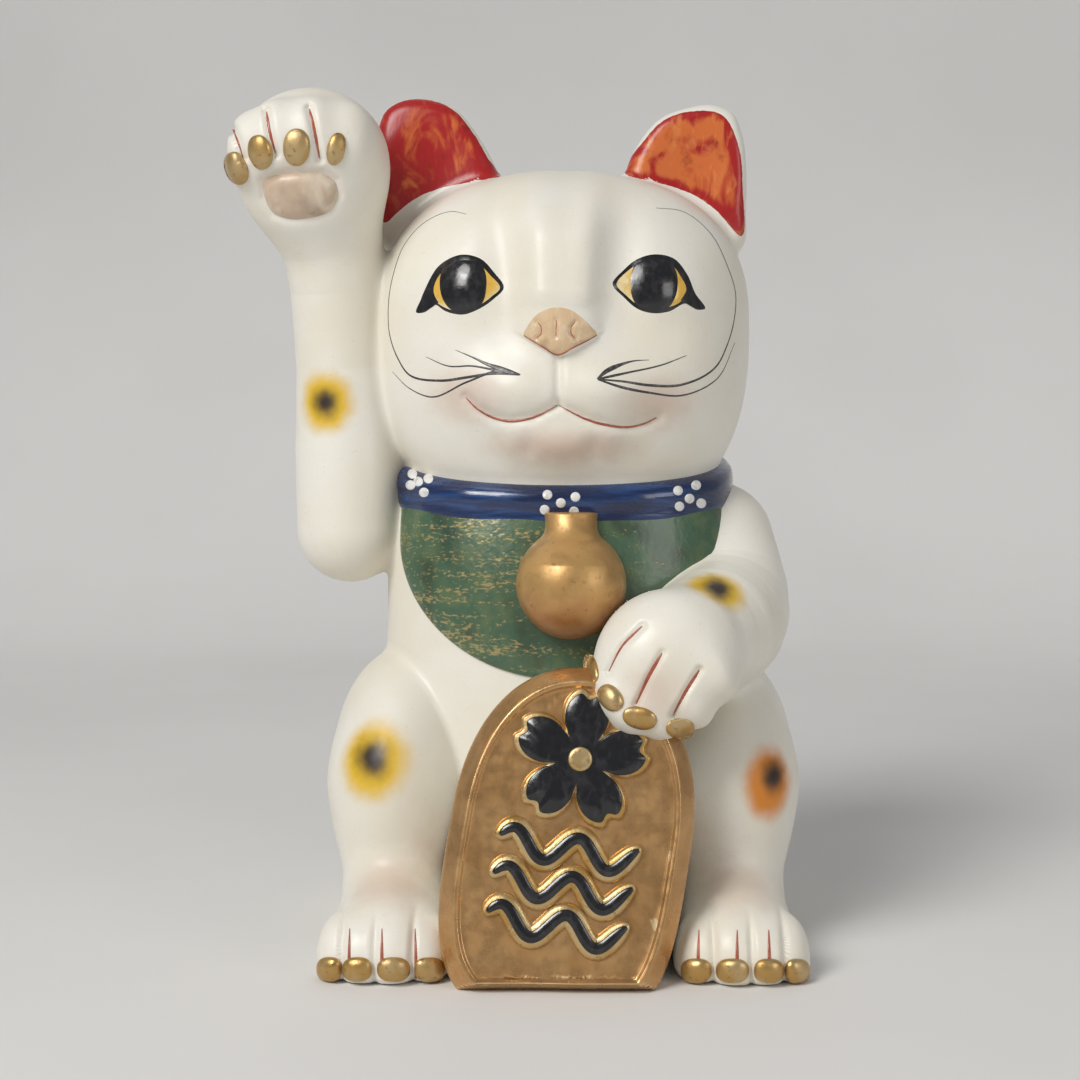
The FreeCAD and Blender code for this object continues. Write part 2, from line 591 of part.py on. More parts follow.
# ---------------------------------------------------------------- assembly
def main():
    os.makedirs("parts", exist_ok=True)

    torso = torso_form(0.0)
    head = solid_of(head_form(0.0).multiFuse(muzzle_forms()))
    legs = {side: leg_form(side, 0.0) for side in (-1, 1)}
    feet = {side: foot_form(side, 0.0) for side in (-1, 1)}
    raised_arm = raised_arm_form(0.0, WRIST_STUB)
    raised_paw = raised_paw_form(0.0)
    lowered_arm = lowered_arm_form(0.0, WRIST_STUB / 2)
    lowered_paw = lowered_paw_form(0.0)
    plaque, pocket = plaque_form()
    collar = collar_form()

    pour_hole = rod(Vector(0, POUR_HOLE_BACK, -1), Vector(0, POUR_HOLE_BACK, WALL + 1), POUR_HOLE_RADIUS)
    vents = [rod(Vector(0, 0, z), Vector(x, y, z), VENT_RADIUS)
             for x, y, z in ((-HALF_WIDTH - 6, -12, NECK_HEIGHT - ELBOW_DROP),
                             (HALF_WIDTH, -12, NECK_HEIGHT - 24),
                             (-LEG_X - 14, -8, LEG_MIDDLE), (LEG_X + 14, -8, LEG_MIDDLE),
                             (0, -HALF_DEPTH - 8, 40))]
    bell_z = NECK_HEIGHT - BELL_DROP
    bell_top = Vector(BELL_X, chest_front(bell_z) - WALL * 2, bell_z)
    bell_vent = rod(Vector(BELL_X, 0, bell_z), bell_top, VENT_RADIUS)
    vents.append(bell_vent)
    hollow = cut(torso_form(WALL, top_extra=30), below(WALL))
    save("torso_shell", cut(torso, hollow, pour_hole, *vents))

    nails = {}
    head_hollow = head_form(WALL)
    save("head_shell", cut(head, head_hollow, torso))
    for side, name in ((-1, "raised_side"), (1, "lowered_side")):
        save("ear_" + name, cut(ear_form(side), head))
        ankle = rod(Vector(side * LEG_X, -56, LEG_MIDDLE), Vector(side * LEG_X, -56, 0), VENT_RADIUS)
        save("haunch_" + name, cut(legs[side], leg_form(side, WALL), ankle, torso, below(0)))
        foot = cut(feet[side], foot_form(side, WALL), legs[side], torso)
        save("hind_foot_" + name, foot)
        nails[name] = [cut(nail, feet[side], below(0)) for nail in foot_nails(side)]
        save("hind_nails_" + name, Part.makeCompound(nails[name]))

    save("raised_foreleg", cut(raised_arm, raised_arm_form(WALL, WRIST_STUB + 10), torso, head))
    save("raised_paw", cut(raised_paw, raised_paw_form(WALL), raised_arm, head))
    save("raised_paw_pad", cut(pad_form(), raised_paw))
    save("raised_nails", Part.makeCompound([cut(nail, raised_paw) for nail in raised_nails()]))

    save("lowered_foreleg", cut(lowered_arm, lowered_arm_form(WALL, WRIST_STUB / 2 + 10), torso, head,
                                legs[1]))
    save("lowered_paw", cut(lowered_paw, lowered_paw_form(WALL), lowered_arm, torso))
    nails["lowered"] = [cut(nail, lowered_paw) for nail in lowered_nails()]
    save("lowered_nails", Part.makeCompound(nails["lowered"]))

    bodies = [torso, legs[-1], legs[1], feet[-1], feet[1], lowered_arm, lowered_paw]
    bodies += [nail for group in nails.values() for nail in group]
    save("coin_plaque", cut(plaque, pocket, *bodies, below(0)))
    flower, heart = blossom()
    save("plaque_blossom", Part.makeCompound([cut(flower, lowered_paw, *nails["lowered"]), heart]))
    save("plaque_waves", waves())

    bib = torso_form(0.0, grow=BIB_THICKNESS).common(bib_outline())
    bib = cut(bib, torso, head, lowered_arm, lowered_paw, raised_arm, plaque, bell_vent)
    save("bib", bib)
    save("collar", cut(collar, torso, head, bib, raised_arm, lowered_arm))
    save("bell", cut(bell_form(0.0), bell_form(WALL), torso, bib, collar, lowered_arm, lowered_paw, plaque,
                     bell_vent))

    save("nose", cut(nose_form(), head))
    for side, name in ((-1, "raised_side"), (1, "lowered_side")):
        save("eye_" + name, cut(eye_form(side), head))
    save("tail", cut(tail_form(), torso, below(0)))


main()
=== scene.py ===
"""A beckoning cat in glazed ceramic: its skins, ornaments and painting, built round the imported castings.

Sizes inside the functions are in millimetres and are made metres when a mesh is written. A skin is the zero
surface of a field: a function that gives, for any points, about how far outside the clay they are. Fields run
into each other with a soft minimum, so that neighbouring castings share one smooth surface, and each casting
keeps its own share of it. Marks, nails and ornaments are drawn on a plane in front of the cat and are cast on
to the skin from the point the painter looks from.
"""
import json

import bpy
import mathutils
import numpy as np
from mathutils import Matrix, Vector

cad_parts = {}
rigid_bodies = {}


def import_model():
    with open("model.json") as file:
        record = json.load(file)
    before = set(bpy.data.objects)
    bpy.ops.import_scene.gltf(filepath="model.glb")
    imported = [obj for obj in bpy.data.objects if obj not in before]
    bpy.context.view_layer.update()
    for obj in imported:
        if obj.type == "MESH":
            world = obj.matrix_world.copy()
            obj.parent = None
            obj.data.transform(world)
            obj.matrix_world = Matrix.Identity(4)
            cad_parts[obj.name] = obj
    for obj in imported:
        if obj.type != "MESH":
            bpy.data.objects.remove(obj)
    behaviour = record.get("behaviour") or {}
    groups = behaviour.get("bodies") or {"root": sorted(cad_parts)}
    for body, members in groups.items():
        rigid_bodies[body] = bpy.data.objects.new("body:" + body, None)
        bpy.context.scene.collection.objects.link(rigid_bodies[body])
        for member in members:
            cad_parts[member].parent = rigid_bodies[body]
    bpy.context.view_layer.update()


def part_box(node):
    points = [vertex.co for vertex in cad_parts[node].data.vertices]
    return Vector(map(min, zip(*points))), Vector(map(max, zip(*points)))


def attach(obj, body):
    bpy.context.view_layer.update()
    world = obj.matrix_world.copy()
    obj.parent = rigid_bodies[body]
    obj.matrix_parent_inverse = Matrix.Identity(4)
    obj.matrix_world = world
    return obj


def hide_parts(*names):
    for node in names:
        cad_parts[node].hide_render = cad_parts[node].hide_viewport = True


bl_info = {
    "name": "Beckoning cat",
    "version": (1, 0, 0),
    "blender": (4, 5, 0),
    "location": "View3D > Sidebar > Cat",
    "description": "Builds a glazed ceramic beckoning cat round its packed castings",
    "category": "Object",
}

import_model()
BOXES = {}      # each casting's box, once it has been asked for


def corners(node):
    """The lowest and highest corners of a casting's box, in millimetres."""
    if node not in BOXES:
        low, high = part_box(node)
        BOXES[node] = np.array(low) * 1000, np.array(high) * 1000
    return BOXES[node]


def at(node, x, y, z):
    """The point at three shares of a casting's box, counted from its lowest corner."""
    low, high = corners(node)
    return low + (high - low) * np.array((x, y, z), float)


def half(node):
    """Half the three sides of a casting's box."""
    low, high = corners(node)
    return (high - low) / 2


# ---------------------------------------------------------------- sums on whole arrays
def unit(v):
    """Vectors over their lengths."""
    return v / np.maximum(np.linalg.norm(v, axis=-1, keepdims=True), 1e-9)


def tipped(a, b, angle):
    """Two coordinates after a turn: the cosine of each, with the sine of the other added or taken off."""
    return a * np.cos(angle) + b * np.sin(angle), b * np.cos(angle) - a * np.sin(angle)


def soft_min(a, b, k):
    """The smaller of two fields, rounded where they are within k of each other."""
    h = np.clip(0.5 + 0.5 * (b - a) / k, 0, 1)
    return b + (a - b) * h - k * h * (1 - h)


def soft_max(a, b, k):
    """The greater of two fields, rounded where they are within k of each other."""
    return -soft_min(-a, -b, k)


def curve(x, knots, values):
    """A smooth line through points: cubic pieces whose slope at a point is that between its neighbours."""
    knots, values = np.asarray(knots, float), np.asarray(values, float)
    slope = np.gradient(values, knots, axis=0)
    x = np.clip(x, knots[0], knots[-1])
    k = np.clip(np.searchsorted(knots, x, side="right") - 1, 0, len(knots) - 2)
    step = knots[k + 1] - knots[k]
    t = (x - knots[k]) / step
    if values.ndim > 1:
        t, step = t[..., None], step[..., None]
    return ((2 * t**3 - 3 * t**2 + 1) * values[k] + (t**3 - 2 * t**2 + t) * step * slope[k]
            + (3 * t**2 - 2 * t**3) * values[k + 1] + (t**3 - t**2) * step * slope[k + 1])


def along(points, count):
    """count points evenly spread along a smooth line through points."""
    points = np.asarray(points, float)
    knots = np.concatenate([[0], np.cumsum(np.linalg.norm(np.diff(points, axis=0), axis=1))])
    return curve(np.linspace(0, knots[-1], count), knots, points)


def loop(points, count):
    """count points evenly spread round a smooth closed line through points."""
    points = np.asarray(points, float)
    wrapped = np.concatenate([points[-3:], points, points[:4]])
    knots = np.concatenate([[0], np.cumsum(np.linalg.norm(np.diff(wrapped, axis=0), axis=1))])
    return curve(np.linspace(knots[3], knots[3 + len(points)], count, endpoint=False), knots, wrapped)


def oval(middle, across, up, turn=0.0, count=48, corner=2.0):
    """A superellipse on the drawing plane, turned by degrees."""
    v = 2 * np.pi * np.arange(count) / count
    c, s = np.cos(v), np.sin(v)
    reach = (abs(c) ** corner + abs(s) ** corner) ** (-1 / corner)
    x, z = reach * c * across, reach * s * up
    a = np.radians(turn)
    return np.stack([middle[0] + x * np.cos(a) - z * np.sin(a),
                     middle[1] + x * np.sin(a) + z * np.cos(a)], -1)


def window(x, start, end):
    """0 before start, 1 after end, with an eased step between."""
    t = np.clip((x - start) / (end - start), 0, 1)
    return t * t * (3 - 2 * t)


# ---------------------------------------------------------------- fields
def egg(p, middle, size):
    """An ellipsoid: (n - 1) n / |gradient| where n is the point's reach in half axes."""
    q = (p - middle) / size
    n = np.linalg.norm(q, axis=-1)
    return n * (n - 1) / np.maximum(np.linalg.norm(q / size, axis=-1), 1e-6)


def bone(p, a, b, ra, rb):
    """A round rod from a to b whose radius runs from ra to rb."""
    ab = b - a
    t = np.clip(((p - a) @ ab) / (ab @ ab), 0, 1)
    return np.linalg.norm(p - a - t[..., None] * ab, axis=-1) - (ra + (rb - ra) * t)


def limb(points, radii, count=9):
    """A field for short rods end to end along a smooth line, their radii running smoothly too."""
    line = along(points, count)
    sizes = curve(np.linspace(0, 1, count), np.linspace(0, 1, len(radii)), radii)

    def field(p):
        total = bone(p, line[0], line[1], sizes[0], sizes[1])
        for n in range(1, count - 1):
            total = np.minimum(total, bone(p, line[n], line[n + 1], sizes[n], sizes[n + 1]))
        return total
    return field


VIEW = np.array((0.0, -715.0, 191.0))     # where the painter looks from
PLANE_Y = -60.0                           # the drawing plane
IN_FRONT = 585.0                          # how far off the painter's eye the space in front of the cat starts


def drawn(p):
    """Where points are seen on the drawing plane."""
    share = (PLANE_Y - VIEW[1]) / (p[..., 1] - VIEW[1])
    return p[..., 0] * share, VIEW[2] + (p[..., 2] - VIEW[2]) * share


def plan(node, points):
    """Points given about the middle of a casting, as it is seen on the drawing plane."""
    x, z = drawn(at(node, 0.5, 0.5, 0.5))
    return np.asarray(points, float) + (x, z)


def scored(p, lines, deep, wide):
    """Tapered grooves along lines on the drawing plane: deep times a bell of the distance to each line."""
    x, z = drawn(p)
    total = 0.0
    for line in lines:
        for k in range(len(line) - 1):
            a, b = line[k], line[k + 1]
            ab = b - a
            t = np.clip(((x - a[0]) * ab[0] + (z - a[1]) * ab[1]) / (ab @ ab), 0, 1)
            gap = np.hypot(x - a[0] - t * ab[0], z - a[1] - t * ab[1])
            total = np.maximum(total, deep * np.exp(-(gap / wide) ** 2))
    return total


def bump(x, z, x0, z0, wide, tall):
    """A round hill of height 1: e to the power of minus the squared distance, in widths and heights."""
    return np.exp(-((x - x0) / wide) ** 2 - ((z - z0) / tall) ** 2)


# ---- torso
NECK_Z = at("torso_shell", 0, 0, 1 / 1.05)[2]
TORSO_X = at("torso_shell", 0.5, 0, 0)[0]
TORSO_Y = at("torso_shell", 0, 0.51, 0)[1]
RISE = (0.00, 0.05, 0.20, 0.42, 0.64, 0.82, 1.00, 1.06)
GIRTH = (0.92, 0.95, 0.95, 0.90, 0.865, 0.85, 0.77, 0.73)
DEPTH = (0.89, 0.93, 0.95, 0.955, 0.91, 0.81, 0.69, 0.65)
SET_BACK = (0.0, 0.0, 0.0, -2.0, -6.0, -10.0, -12.0, -12.0)


def torso(p):
    """Superellipse sections stacked up the body, closed by the floor and the neck."""
    share = p[..., 2] / NECK_Z
    wide = curve(share, RISE, GIRTH) * half("torso_shell")[0]
    deep = curve(share, RISE, DEPTH) * half("torso_shell")[1]
    x, y = p[..., 0] - TORSO_X, p[..., 1] - TORSO_Y - curve(share, RISE, SET_BACK)
    n = (abs(x / wide) ** 2.2 + abs(y / deep) ** 2.2) ** (1 / 2.2)
    r = np.hypot(x, y)
    side = r - r / np.maximum(n, 1e-3)
    return soft_max(side, np.maximum(-p[..., 2], p[..., 2] - NECK_Z * 1.05), 7)


# ---- head
HEAD_MID = at("head_shell", 0.5, 0.528, 0.514)
HEAD_WIDE = half("head_shell")[0]
HEAD_DEEP = HEAD_WIDE * 0.786
HEAD_UP = HEAD_WIDE * 0.814
HEAD_DOWN = HEAD_WIDE * 1.103
NOSE = np.array(plan("nose", (0, 0)))
MOUTH = [NOSE + np.array(line) for line in (
    ((-35.4, -23.4), (-31.5, -27.4), (-26, -30.6), (-19.3, -32.2), (-10.5, -30.7), (-1.7, -26.3)),
    ((-1.7, -26.3), (9, -31.7), (17, -33.8), (23.6, -34.3), (29.5, -33.1), (34.3, -30.7)))]
PHILTRUM = [NOSE + np.array(((-1.8, -9.0), (-1.7, -18.0), (-1.7, -26.3)))]
NOSTRILS = [NOSE + np.array(line) for line in (
    ((-9.4, 4.0), (-7.9, 2.2), (-7.9, -0.6), (-9.6, -2.4)),
    ((4.4, 4.0), (2.9, 2.0), (2.9, -0.6), (4.6, -2.4)),
    ((-2.4, 4.6), (-2.5, -1.6)))]


def face(p):
    """The relief of the face on the drawing plane: bridge, sockets, cheeks, nose, muzzle and chin."""
    x, z = drawn(p)
    x, z = x - NOSE[0], z - NOSE[1]
    bridge = 1 / (1 + abs((x + 0.8) / (13.5 + 0.09 * np.clip(z - 20, 0, 60))) ** 5)
    relief = 7.2 * bridge * window(z, -2, 16) * (1 - window(z, 34, 66))
    relief += 3.8 * bump(x, z, -1, 1.5, 13.5, 9.5) + 1.6 * bump(x, z, -1, -3, 7, 6)
    wedge = window(z + 8.6 - 0.54 * abs(x + 1.2), -0.9, 0.9) * (1 - window(z, 1, 10))
    relief += 1.7 * (wedge * np.exp(-((x + 1.2) / 14.5) ** 8))
    for side in (-1, 1):
        relief += 8.2 * bump(x, z, side * 16.5 - 1.5, -21.5, 17.0, 12.5)
        relief += 2.6 * bump(x, z, side * 36, 17.5, 17, 13)
        relief -= 3.4 * bump(x, z, side * 22, 24, 8.5, 22)
        relief += 2.4 * bump(x, z, side * 15, -39, 8, 7)
        relief += 1.6 * bump(x, z, side * 46, -10, 16, 18)
    relief += 6.0 * bump(x, z, -0.5, -41, 13, 8.5)
    for side in (-1, 1):
        relief -= 1.5 * bump(x, z, side * 12 - 0.5, -41, 4, 5)
    relief -= 0.7 * bump(x, z, 2.5, 44, 6, 20)
    groove = scored(p, MOUTH, 1.5, 2.0) + scored(p, PHILTRUM, 1.6, 1.9) + scored(p, NOSTRILS, 0.9, 0.8)
    front = window(-p[..., 1], 8, 34)
    return (relief - groove) * front


def head_block(p):
    """A rounded box: superellipse sections under a superellipse profile, taller below than above."""
    q = p - HEAD_MID
    tall = np.where(q[..., 2] > 0, HEAD_UP, HEAD_DOWN)
    ring = (abs(q[..., 0] / HEAD_WIDE) ** 2.3 + abs(q[..., 1] / HEAD_DEEP) ** 2.3) ** (1 / 2.3)
    corner = np.where(q[..., 2] > 0, 2.4, 2.6)
    n = (ring**corner + abs(q[..., 2] / tall) ** corner) ** (1 / corner)
    r = np.linalg.norm(q, axis=-1)
    return r - r / np.maximum(n, 1e-3)


def head(p):
    """The rounded box with the face's relief raised out of it."""
    return head_block(p) - face(p)


# ---- ears
EAR_SHAPE = {     # outline about the casting's middle, outwards and up
    -1: ((22, -28), (10, -33), (-8, -30), (-22, -16), (-25, -2), (-22.3, 5.5), (-16, 16.2), (-7.4, 26.2),
         (4.3, 30.2), (14, 29.6), (20, 26), (23, 18), (23.4, 2), (23, -14)),
    1: ((21, -28), (10, -33), (-8, -30), (-22, -16), (-25.5, 0), (-19, 14.3), (-12, 22), (-1, 26.4),
        (9, 27.6), (16, 25), (20.6, 15), (22, 2), (22, -14))}


def ear(side):
    """A leaf on the corner of the head: thick * a rounded outline, hollowed in front by an egg."""
    node = "ear_raised_side" if side < 0 else "ear_lowered_side"
    middle = at(node, 0.5, 0.5, 0.5)
    shape = loop(EAR_SHAPE[side], 90)
    angle = np.unwrap(np.arctan2(shape[:, 1], shape[:, 0]))
    order = np.argsort(np.mod(angle, 2 * np.pi))
    angles, reach = np.mod(angle, 2 * np.pi)[order], np.hypot(*shape.T)[order]

    def field(p):
        x, z = (p[..., 0] - middle[0]) * side, p[..., 2] - middle[2]
        edge = np.interp(np.mod(np.arctan2(z, x), 2 * np.pi), angles, reach, period=2 * np.pi)
        leaf = (np.hypot(x, z) - edge) * 0.9
        y = p[..., 1] - middle[1] - 0.004 * (x * x + z * z)
        body = soft_max(leaf, abs(y) - 5.2, 6)
        cup = egg(p, middle + np.array((side * 1.5, -8.6, 0.0)), np.array((20.5, 6.6, 27.0)))
        return soft_max(body, -cup, 2.5)
    return field


EARS = {side: ear(side) for side in (-1, 1)}

# ---- raised foreleg and paw
RAISED_PAW = at("raised_paw", 0.5, 0.5, 0.5)
RAISED_SPINE = np.array([at("raised_foreleg", *s) for s in (
    (0.575, 0.61, 0.135), (0.56, 0.62, 0.34), (0.53, 0.58, 0.62), (0.48, 0.48, 0.84), (0.39, 0.36, 0.97))])
RAISED_GROOVES = [plan("raised_paw", line) for line in (
    ((-28.4, 13.0), (-26.6, 8.6), (-24.6, 2.6)), ((-16.1, 19.6), (-15.2, 13.2), (-12.8, 4.0)),
    ((-0.6, 20.6), (1.2, 13.0), (3.2, 2.0)))]
PAD_OUTLINE = plan("raised_paw", (
    (-17.2, -5.6), (-12, -3.6), (-4, -2.8), (4, -3.2), (8.6, -6.0), (9.8, -11.0),
    (7.0, -16.6), (0, -19.2), (-8, -19.6), (-13.6, -17.6), (-16.8, -12.0)))


raised_arm = limb(RAISED_SPINE, (20.8, 20.8, 19.2, 19.2, 19.0))


RAISED_TOES = ((-20.5, 4.5, -12.5, 8.5), (-9.6, 8.0, -17, 9.5), (3.6, 8.6, -17, 10.0), (16.2, 7.2, -12, 9.0))


def raised_paw(p):
    """A mitten: an egg with four toes standing forward, a scored groove between each two, and a ditch round
    the pad."""
    field = egg(p, RAISED_PAW + (0, 2, 0.5), np.array((29.5, 25, 28.6)))
    for x, z, y, wide in RAISED_TOES:
        toe = egg(p, RAISED_PAW + (x, y, z), np.array((wide, 10.5, 13.0)))
        field = soft_min(field, toe, 7)
    field = field + scored(p, RAISED_GROOVES, 2.0, 1.5) * window(-p[..., 1], 20, 40)
    ditch = [np.concatenate([PAD_OUTLINE, PAD_OUTLINE[:1]])]
    return field + scored(p, ditch, 1.3, 1.8) * window(-p[..., 1], 20, 40)


# ---- lowered foreleg and paw
LOWERED_SPINE = np.array([at("lowered_foreleg", *s) for s in (
    (0.60, 0.80, 0.70), (0.645, 0.66, 0.42), (0.50, 0.33, 0.31), (0.26, 0.16, 0.26))])
LOWERED_PAW = at("lowered_paw", 0.5, 0.5, 0.5)
LOWERED_GROOVES = [plan("lowered_paw", line) for line in (
    ((-7.5, 15.0), (-15.0, 7.5), (-20.0, -2.0)), ((-0.4, 5.2), (-5.4, -3.6), (-10.0, -13.8)),
    ((13.2, -1.0), (8.2, -9.0), (3.6, -17.6)))]


lowered_arm = limb(LOWERED_SPINE, (23.5, 25.0, 23.0, 19.5))


def lowered_paw(p):
    """A flat mitten with four toes that point down and inwards."""
    q = p - LOWERED_PAW
    a = np.radians(33)
    turned = np.stack([q[..., 0] * np.cos(a) + q[..., 2] * np.sin(a), q[..., 1],
                       q[..., 2] * np.cos(a) - q[..., 0] * np.sin(a)], -1)
    field = egg(turned, np.array((1.0, 1.0, 1.0)), np.array((25.0, 16.0, 20.5)))
    for x, z, wide in ((-20.0, -3.0, 6.4), (-11.6, -10.5, 7.2), (1.2, -13.0, 7.8), (14.0, -9.5, 7.2)):
        field = soft_min(field, egg(turned, np.array((x, -4.0, z)), np.array((wide, 11.0, 11.5))), 6)
    return field + scored(p, LOWERED_GROOVES, 1.9, 1.3) * window(-p[..., 1], 60, 76)


# ---- hind legs
SIDES = {-1: "raised_side", 1: "lowered_side"}
MARKS = {-1: "-", 1: "+"}               # which end a part's short name in PARTS
TOE_OUT = (18.2, 8.6, -3.8, -16.2)      # middle of the foot outwards to the middle of each toe
TOE_GAP = (14.2, 2.7, -10.2)            # and to each groove


def haunch(side):
    """The egg of a thigh run softly into the short rod of a shin."""
    node = "haunch_" + SIDES[side]
    middle = at(node, 0.5, 0, 0) * (1, 0, 0) + at(node, 0, 0.548, 0.552) * (0, 1, 1)
    middle[0] = at("hind_foot_" + SIDES[side], 0.5, 0, 0)[0]

    def field(p):
        thigh = egg(p, middle, np.array((27.0, 53.0, 43.5)))
        shin = bone(p, middle + (0, -27, -6), middle + (0, -32, -36), 22.0, 19.0)
        return soft_min(thigh, shin, 16)
    return field


def foot(side):
    """An egg with four toes in front, flat on the floor."""
    node = "hind_foot_" + SIDES[side]
    middle = at(node, 0.5, 0.5, 0)

    def field(p):
        q = p - middle
        out = q[..., 0] * side
        body = egg(q, np.array((0, 1.0, 8.0)), np.array((21.5, 32.0, 22.0)))
        for x, y, wide in zip(TOE_OUT, (-16.5, -20.0, -20.5, -17.5), (7.4, 8.6, 8.8, 8.0)):
            toe = egg(q, np.array((side * x * 0.94, y, 6.0)), np.array((wide, 12.0, 14.0)))
            body = soft_min(body, toe, 7)
        for x in TOE_GAP:
            groove = 1.3 * np.exp(-((out - x) / 1.35) ** 2) * window(-q[..., 1], 4, 14)
            body = body + groove * (1 - window(q[..., 2], 14, 26))
        return soft_max(body, -p[..., 2], 4)
    return field


HAUNCH = {side: haunch(side) for side in SIDES}
FOOT = {side: foot(side) for side in SIDES}
TAIL_SPINE = np.array([at("tail", *s) for s in (
    (0.84, 0.50, 0.19), (0.56, 0.60, 0.17), (0.33, 0.56, 0.27), (0.16, 0.50, 0.52), (0.14, 0.42, 0.83))])


tail = limb(TAIL_SPINE, (12.2, 12.4, 12.2, 11.8, 10.8), 12)


# ---- how the castings run together
def close_to(field, *nodes):
    """The same field, worked out only near its castings: farther off, the distance to their box serves."""
    low = np.min([corners(node)[0] for node in nodes], axis=0) - 4
    high = np.max([corners(node)[1] for node in nodes], axis=0) + 4

    def quick(p):
        away = np.maximum(np.maximum(low - p, p - high), 0)
        value = np.sqrt((away * away).sum(-1))
        close = value < 21
        if close.any():
            value[close] = field(p[close])
        return value
    return quick


# each part: its own field, the part it is run into first, and how softly
PARTS = {
    "torso": (close_to(torso, "torso_shell"), None, 0),
    "head": (close_to(head, "head_shell"), "torso", 4),
    "haunch-": (close_to(HAUNCH[-1], "haunch_raised_side"), "torso", 3.5),
    "foot-": (close_to(FOOT[-1], "hind_foot_raised_side"), "haunch-", 13),
    "haunch+": (close_to(HAUNCH[1], "haunch_lowered_side"), "torso", 3.5),
    "foot+": (close_to(FOOT[1], "hind_foot_lowered_side"), "haunch+", 13),
    "arm-": (close_to(raised_arm, "raised_foreleg"), "torso", 5),
    "paw-": (close_to(raised_paw, "raised_paw"), "arm-", 15),
    "arm+": (close_to(lowered_arm, "lowered_foreleg"), "torso", 6),
    "paw+": (close_to(lowered_paw, "lowered_paw"), "arm+", 16),
    "tail": (close_to(tail, "tail"), "torso", 4),
    "ear-": (close_to(EARS[-1], "ear_raised_side"), "torso", 6),
    "ear+": (close_to(EARS[1], "ear_lowered_side"), "torso", 6),
}


def whole(*names):
    """The common skin of some neighbours: a paw or a foot is run into its limb, and the limb into the
    rest."""
    def field(p):
        total = None
        for name, (own, host, k) in PARTS.items():
            if name not in names or host not in (None, "torso"):
                continue
            value = own(p)
            for tip, (tip_field, tip_host, tip_k) in PARTS.items():
                if tip_host == name and tip in names and name != "torso":
                    value = soft_min(value, tip_field(p), tip_k)
            total = value if total is None else soft_min(total, value, k)
        return total
    return field


def share(name, *neighbours, spare=1.0):
    """A part's share of space: negative where it is nearer than any neighbour, with a little to spare."""
    def field(p):
        rest = PARTS[neighbours[0]][0](p)
        for other in neighbours[1:]:
            rest = np.minimum(rest, PARTS[other][0](p))
        return (PARTS[name][0](p) - rest) / 2 - spare
    return field


def slope(field, p, h=0.12):
    """The outward direction of a field, from its values at the corners of a small tetrahedron."""
    total = 0.0
    for corner in np.array(((1, -1, -1), (-1, -1, 1), (-1, 1, -1), (1, 1, 1)), float):
        total = total + corner * field(p + corner * h)[..., None]
    return unit(total)


def cast(field, flat):
    """Where lines of sight through points of the drawing plane meet a skin: steps of 0.8 of the field's value
    from in front of the cat, which shrink to nothing at the skin. A line that misses stops where it is
    nearest."""
    flat = np.asarray(flat, float)
    aim = np.stack([flat[..., 0], np.full(flat.shape[:-1], PLANE_Y), flat[..., 1]], -1)
    line = unit(aim - VIEW)
    t = np.full(flat.shape[:-1], IN_FRONT)
    best, least = t.copy(), np.full(t.shape, 1e9)
    for _ in range(44):
        value = field(VIEW + line * t[..., None])
        best = np.where(abs(value) < least, t, best)
        least = np.minimum(abs(value), least)
        t = t + np.clip(value * 0.8, -3, 14)
    return VIEW + line * best[..., None]


# ---------------------------------------------------------------- meshes
def shell(rows, normals=None):
    """A closed surface from rows of points: rows run round, the first and last row close to a point."""
    rows = np.asarray(rows, float)
    count, around = rows.shape[:2]
    inner = rows[1:-1].reshape(-1, 3)
    points = np.concatenate([rows[:1].mean(1), inner, rows[-1:].mean(1)])
    number = 1 + np.arange((count - 2) * around).reshape(count - 2, around)
    turned = np.roll(number, -1, axis=1)
    quads = np.stack([number[:-1], turned[:-1], turned[1:], number[1:]], -1).reshape(-1, 4)
    start = np.stack([np.zeros(around, int), turned[0], number[0]], -1)
    end = np.stack([np.full(around, len(points) - 1), number[-1], turned[-1]], -1)
    tris = np.concatenate([start, end])
    a, b, c, d = (points[quads[:, k]] for k in range(4))
    volume = (np.cross(a, b) * c).sum() + (np.cross(a, c) * d).sum()
    e, f, g = (points[tris[:, k]] for k in range(3))
    volume += (np.cross(e, f) * g).sum()
    if volume < 0:
        quads, tris = quads[:, ::-1], tris[:, ::-1]
    if normals is not None:
        ends = unit(normals[:1].mean(1)), unit(normals[-1:].mean(1))
        normals = np.concatenate([ends[0], normals[1:-1].reshape(-1, 3), ends[1]])
    return points, quads, tris, normals


def make(name, shells, finish, stands_for=()):
    """Writes closed shells into one mesh object with its finish, riding on the root."""
    points, quads, tris, normals, offset = [], [], [], [], 0
    for part_points, part_quads, part_tris, part_normals in shells:
        points.append(part_points)
        quads.append(part_quads + offset)
        tris.append(part_tris + offset)
        normals.append(part_normals)
        offset += len(part_points)
    points, quads, tris = np.concatenate(points), np.concatenate(quads), np.concatenate(tris)
    mesh = bpy.data.meshes.new(name)
    mesh.vertices.add(len(points))
    mesh.vertices.foreach_set("co", (points * 0.001).astype(np.float32).ravel())
    mesh.loops.add(quads.size + tris.size)
    mesh.loops.foreach_set("vertex_index", np.concatenate([quads.ravel(), tris.ravel()]).astype(np.int32))
    mesh.polygons.add(len(quads) + len(tris))
    starts = np.concatenate([np.arange(len(quads)) * 4, quads.size + np.arange(len(tris)) * 3])
    mesh.polygons.foreach_set("loop_start", starts.astype(np.int32))
    mesh.update(calc_edges=True)
    mesh.validate()
    mesh.shade_smooth()
    if normals[0] is not None:
        mesh.normals_split_custom_set_from_vertices(np.concatenate(normals).tolist())
    obj = bpy.data.objects.new(name, mesh)
    bpy.context.scene.collection.objects.link(obj)
    mesh.materials.append(finish)
    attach(obj, "root")
    for node in stands_for:
        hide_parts(node)
    return obj


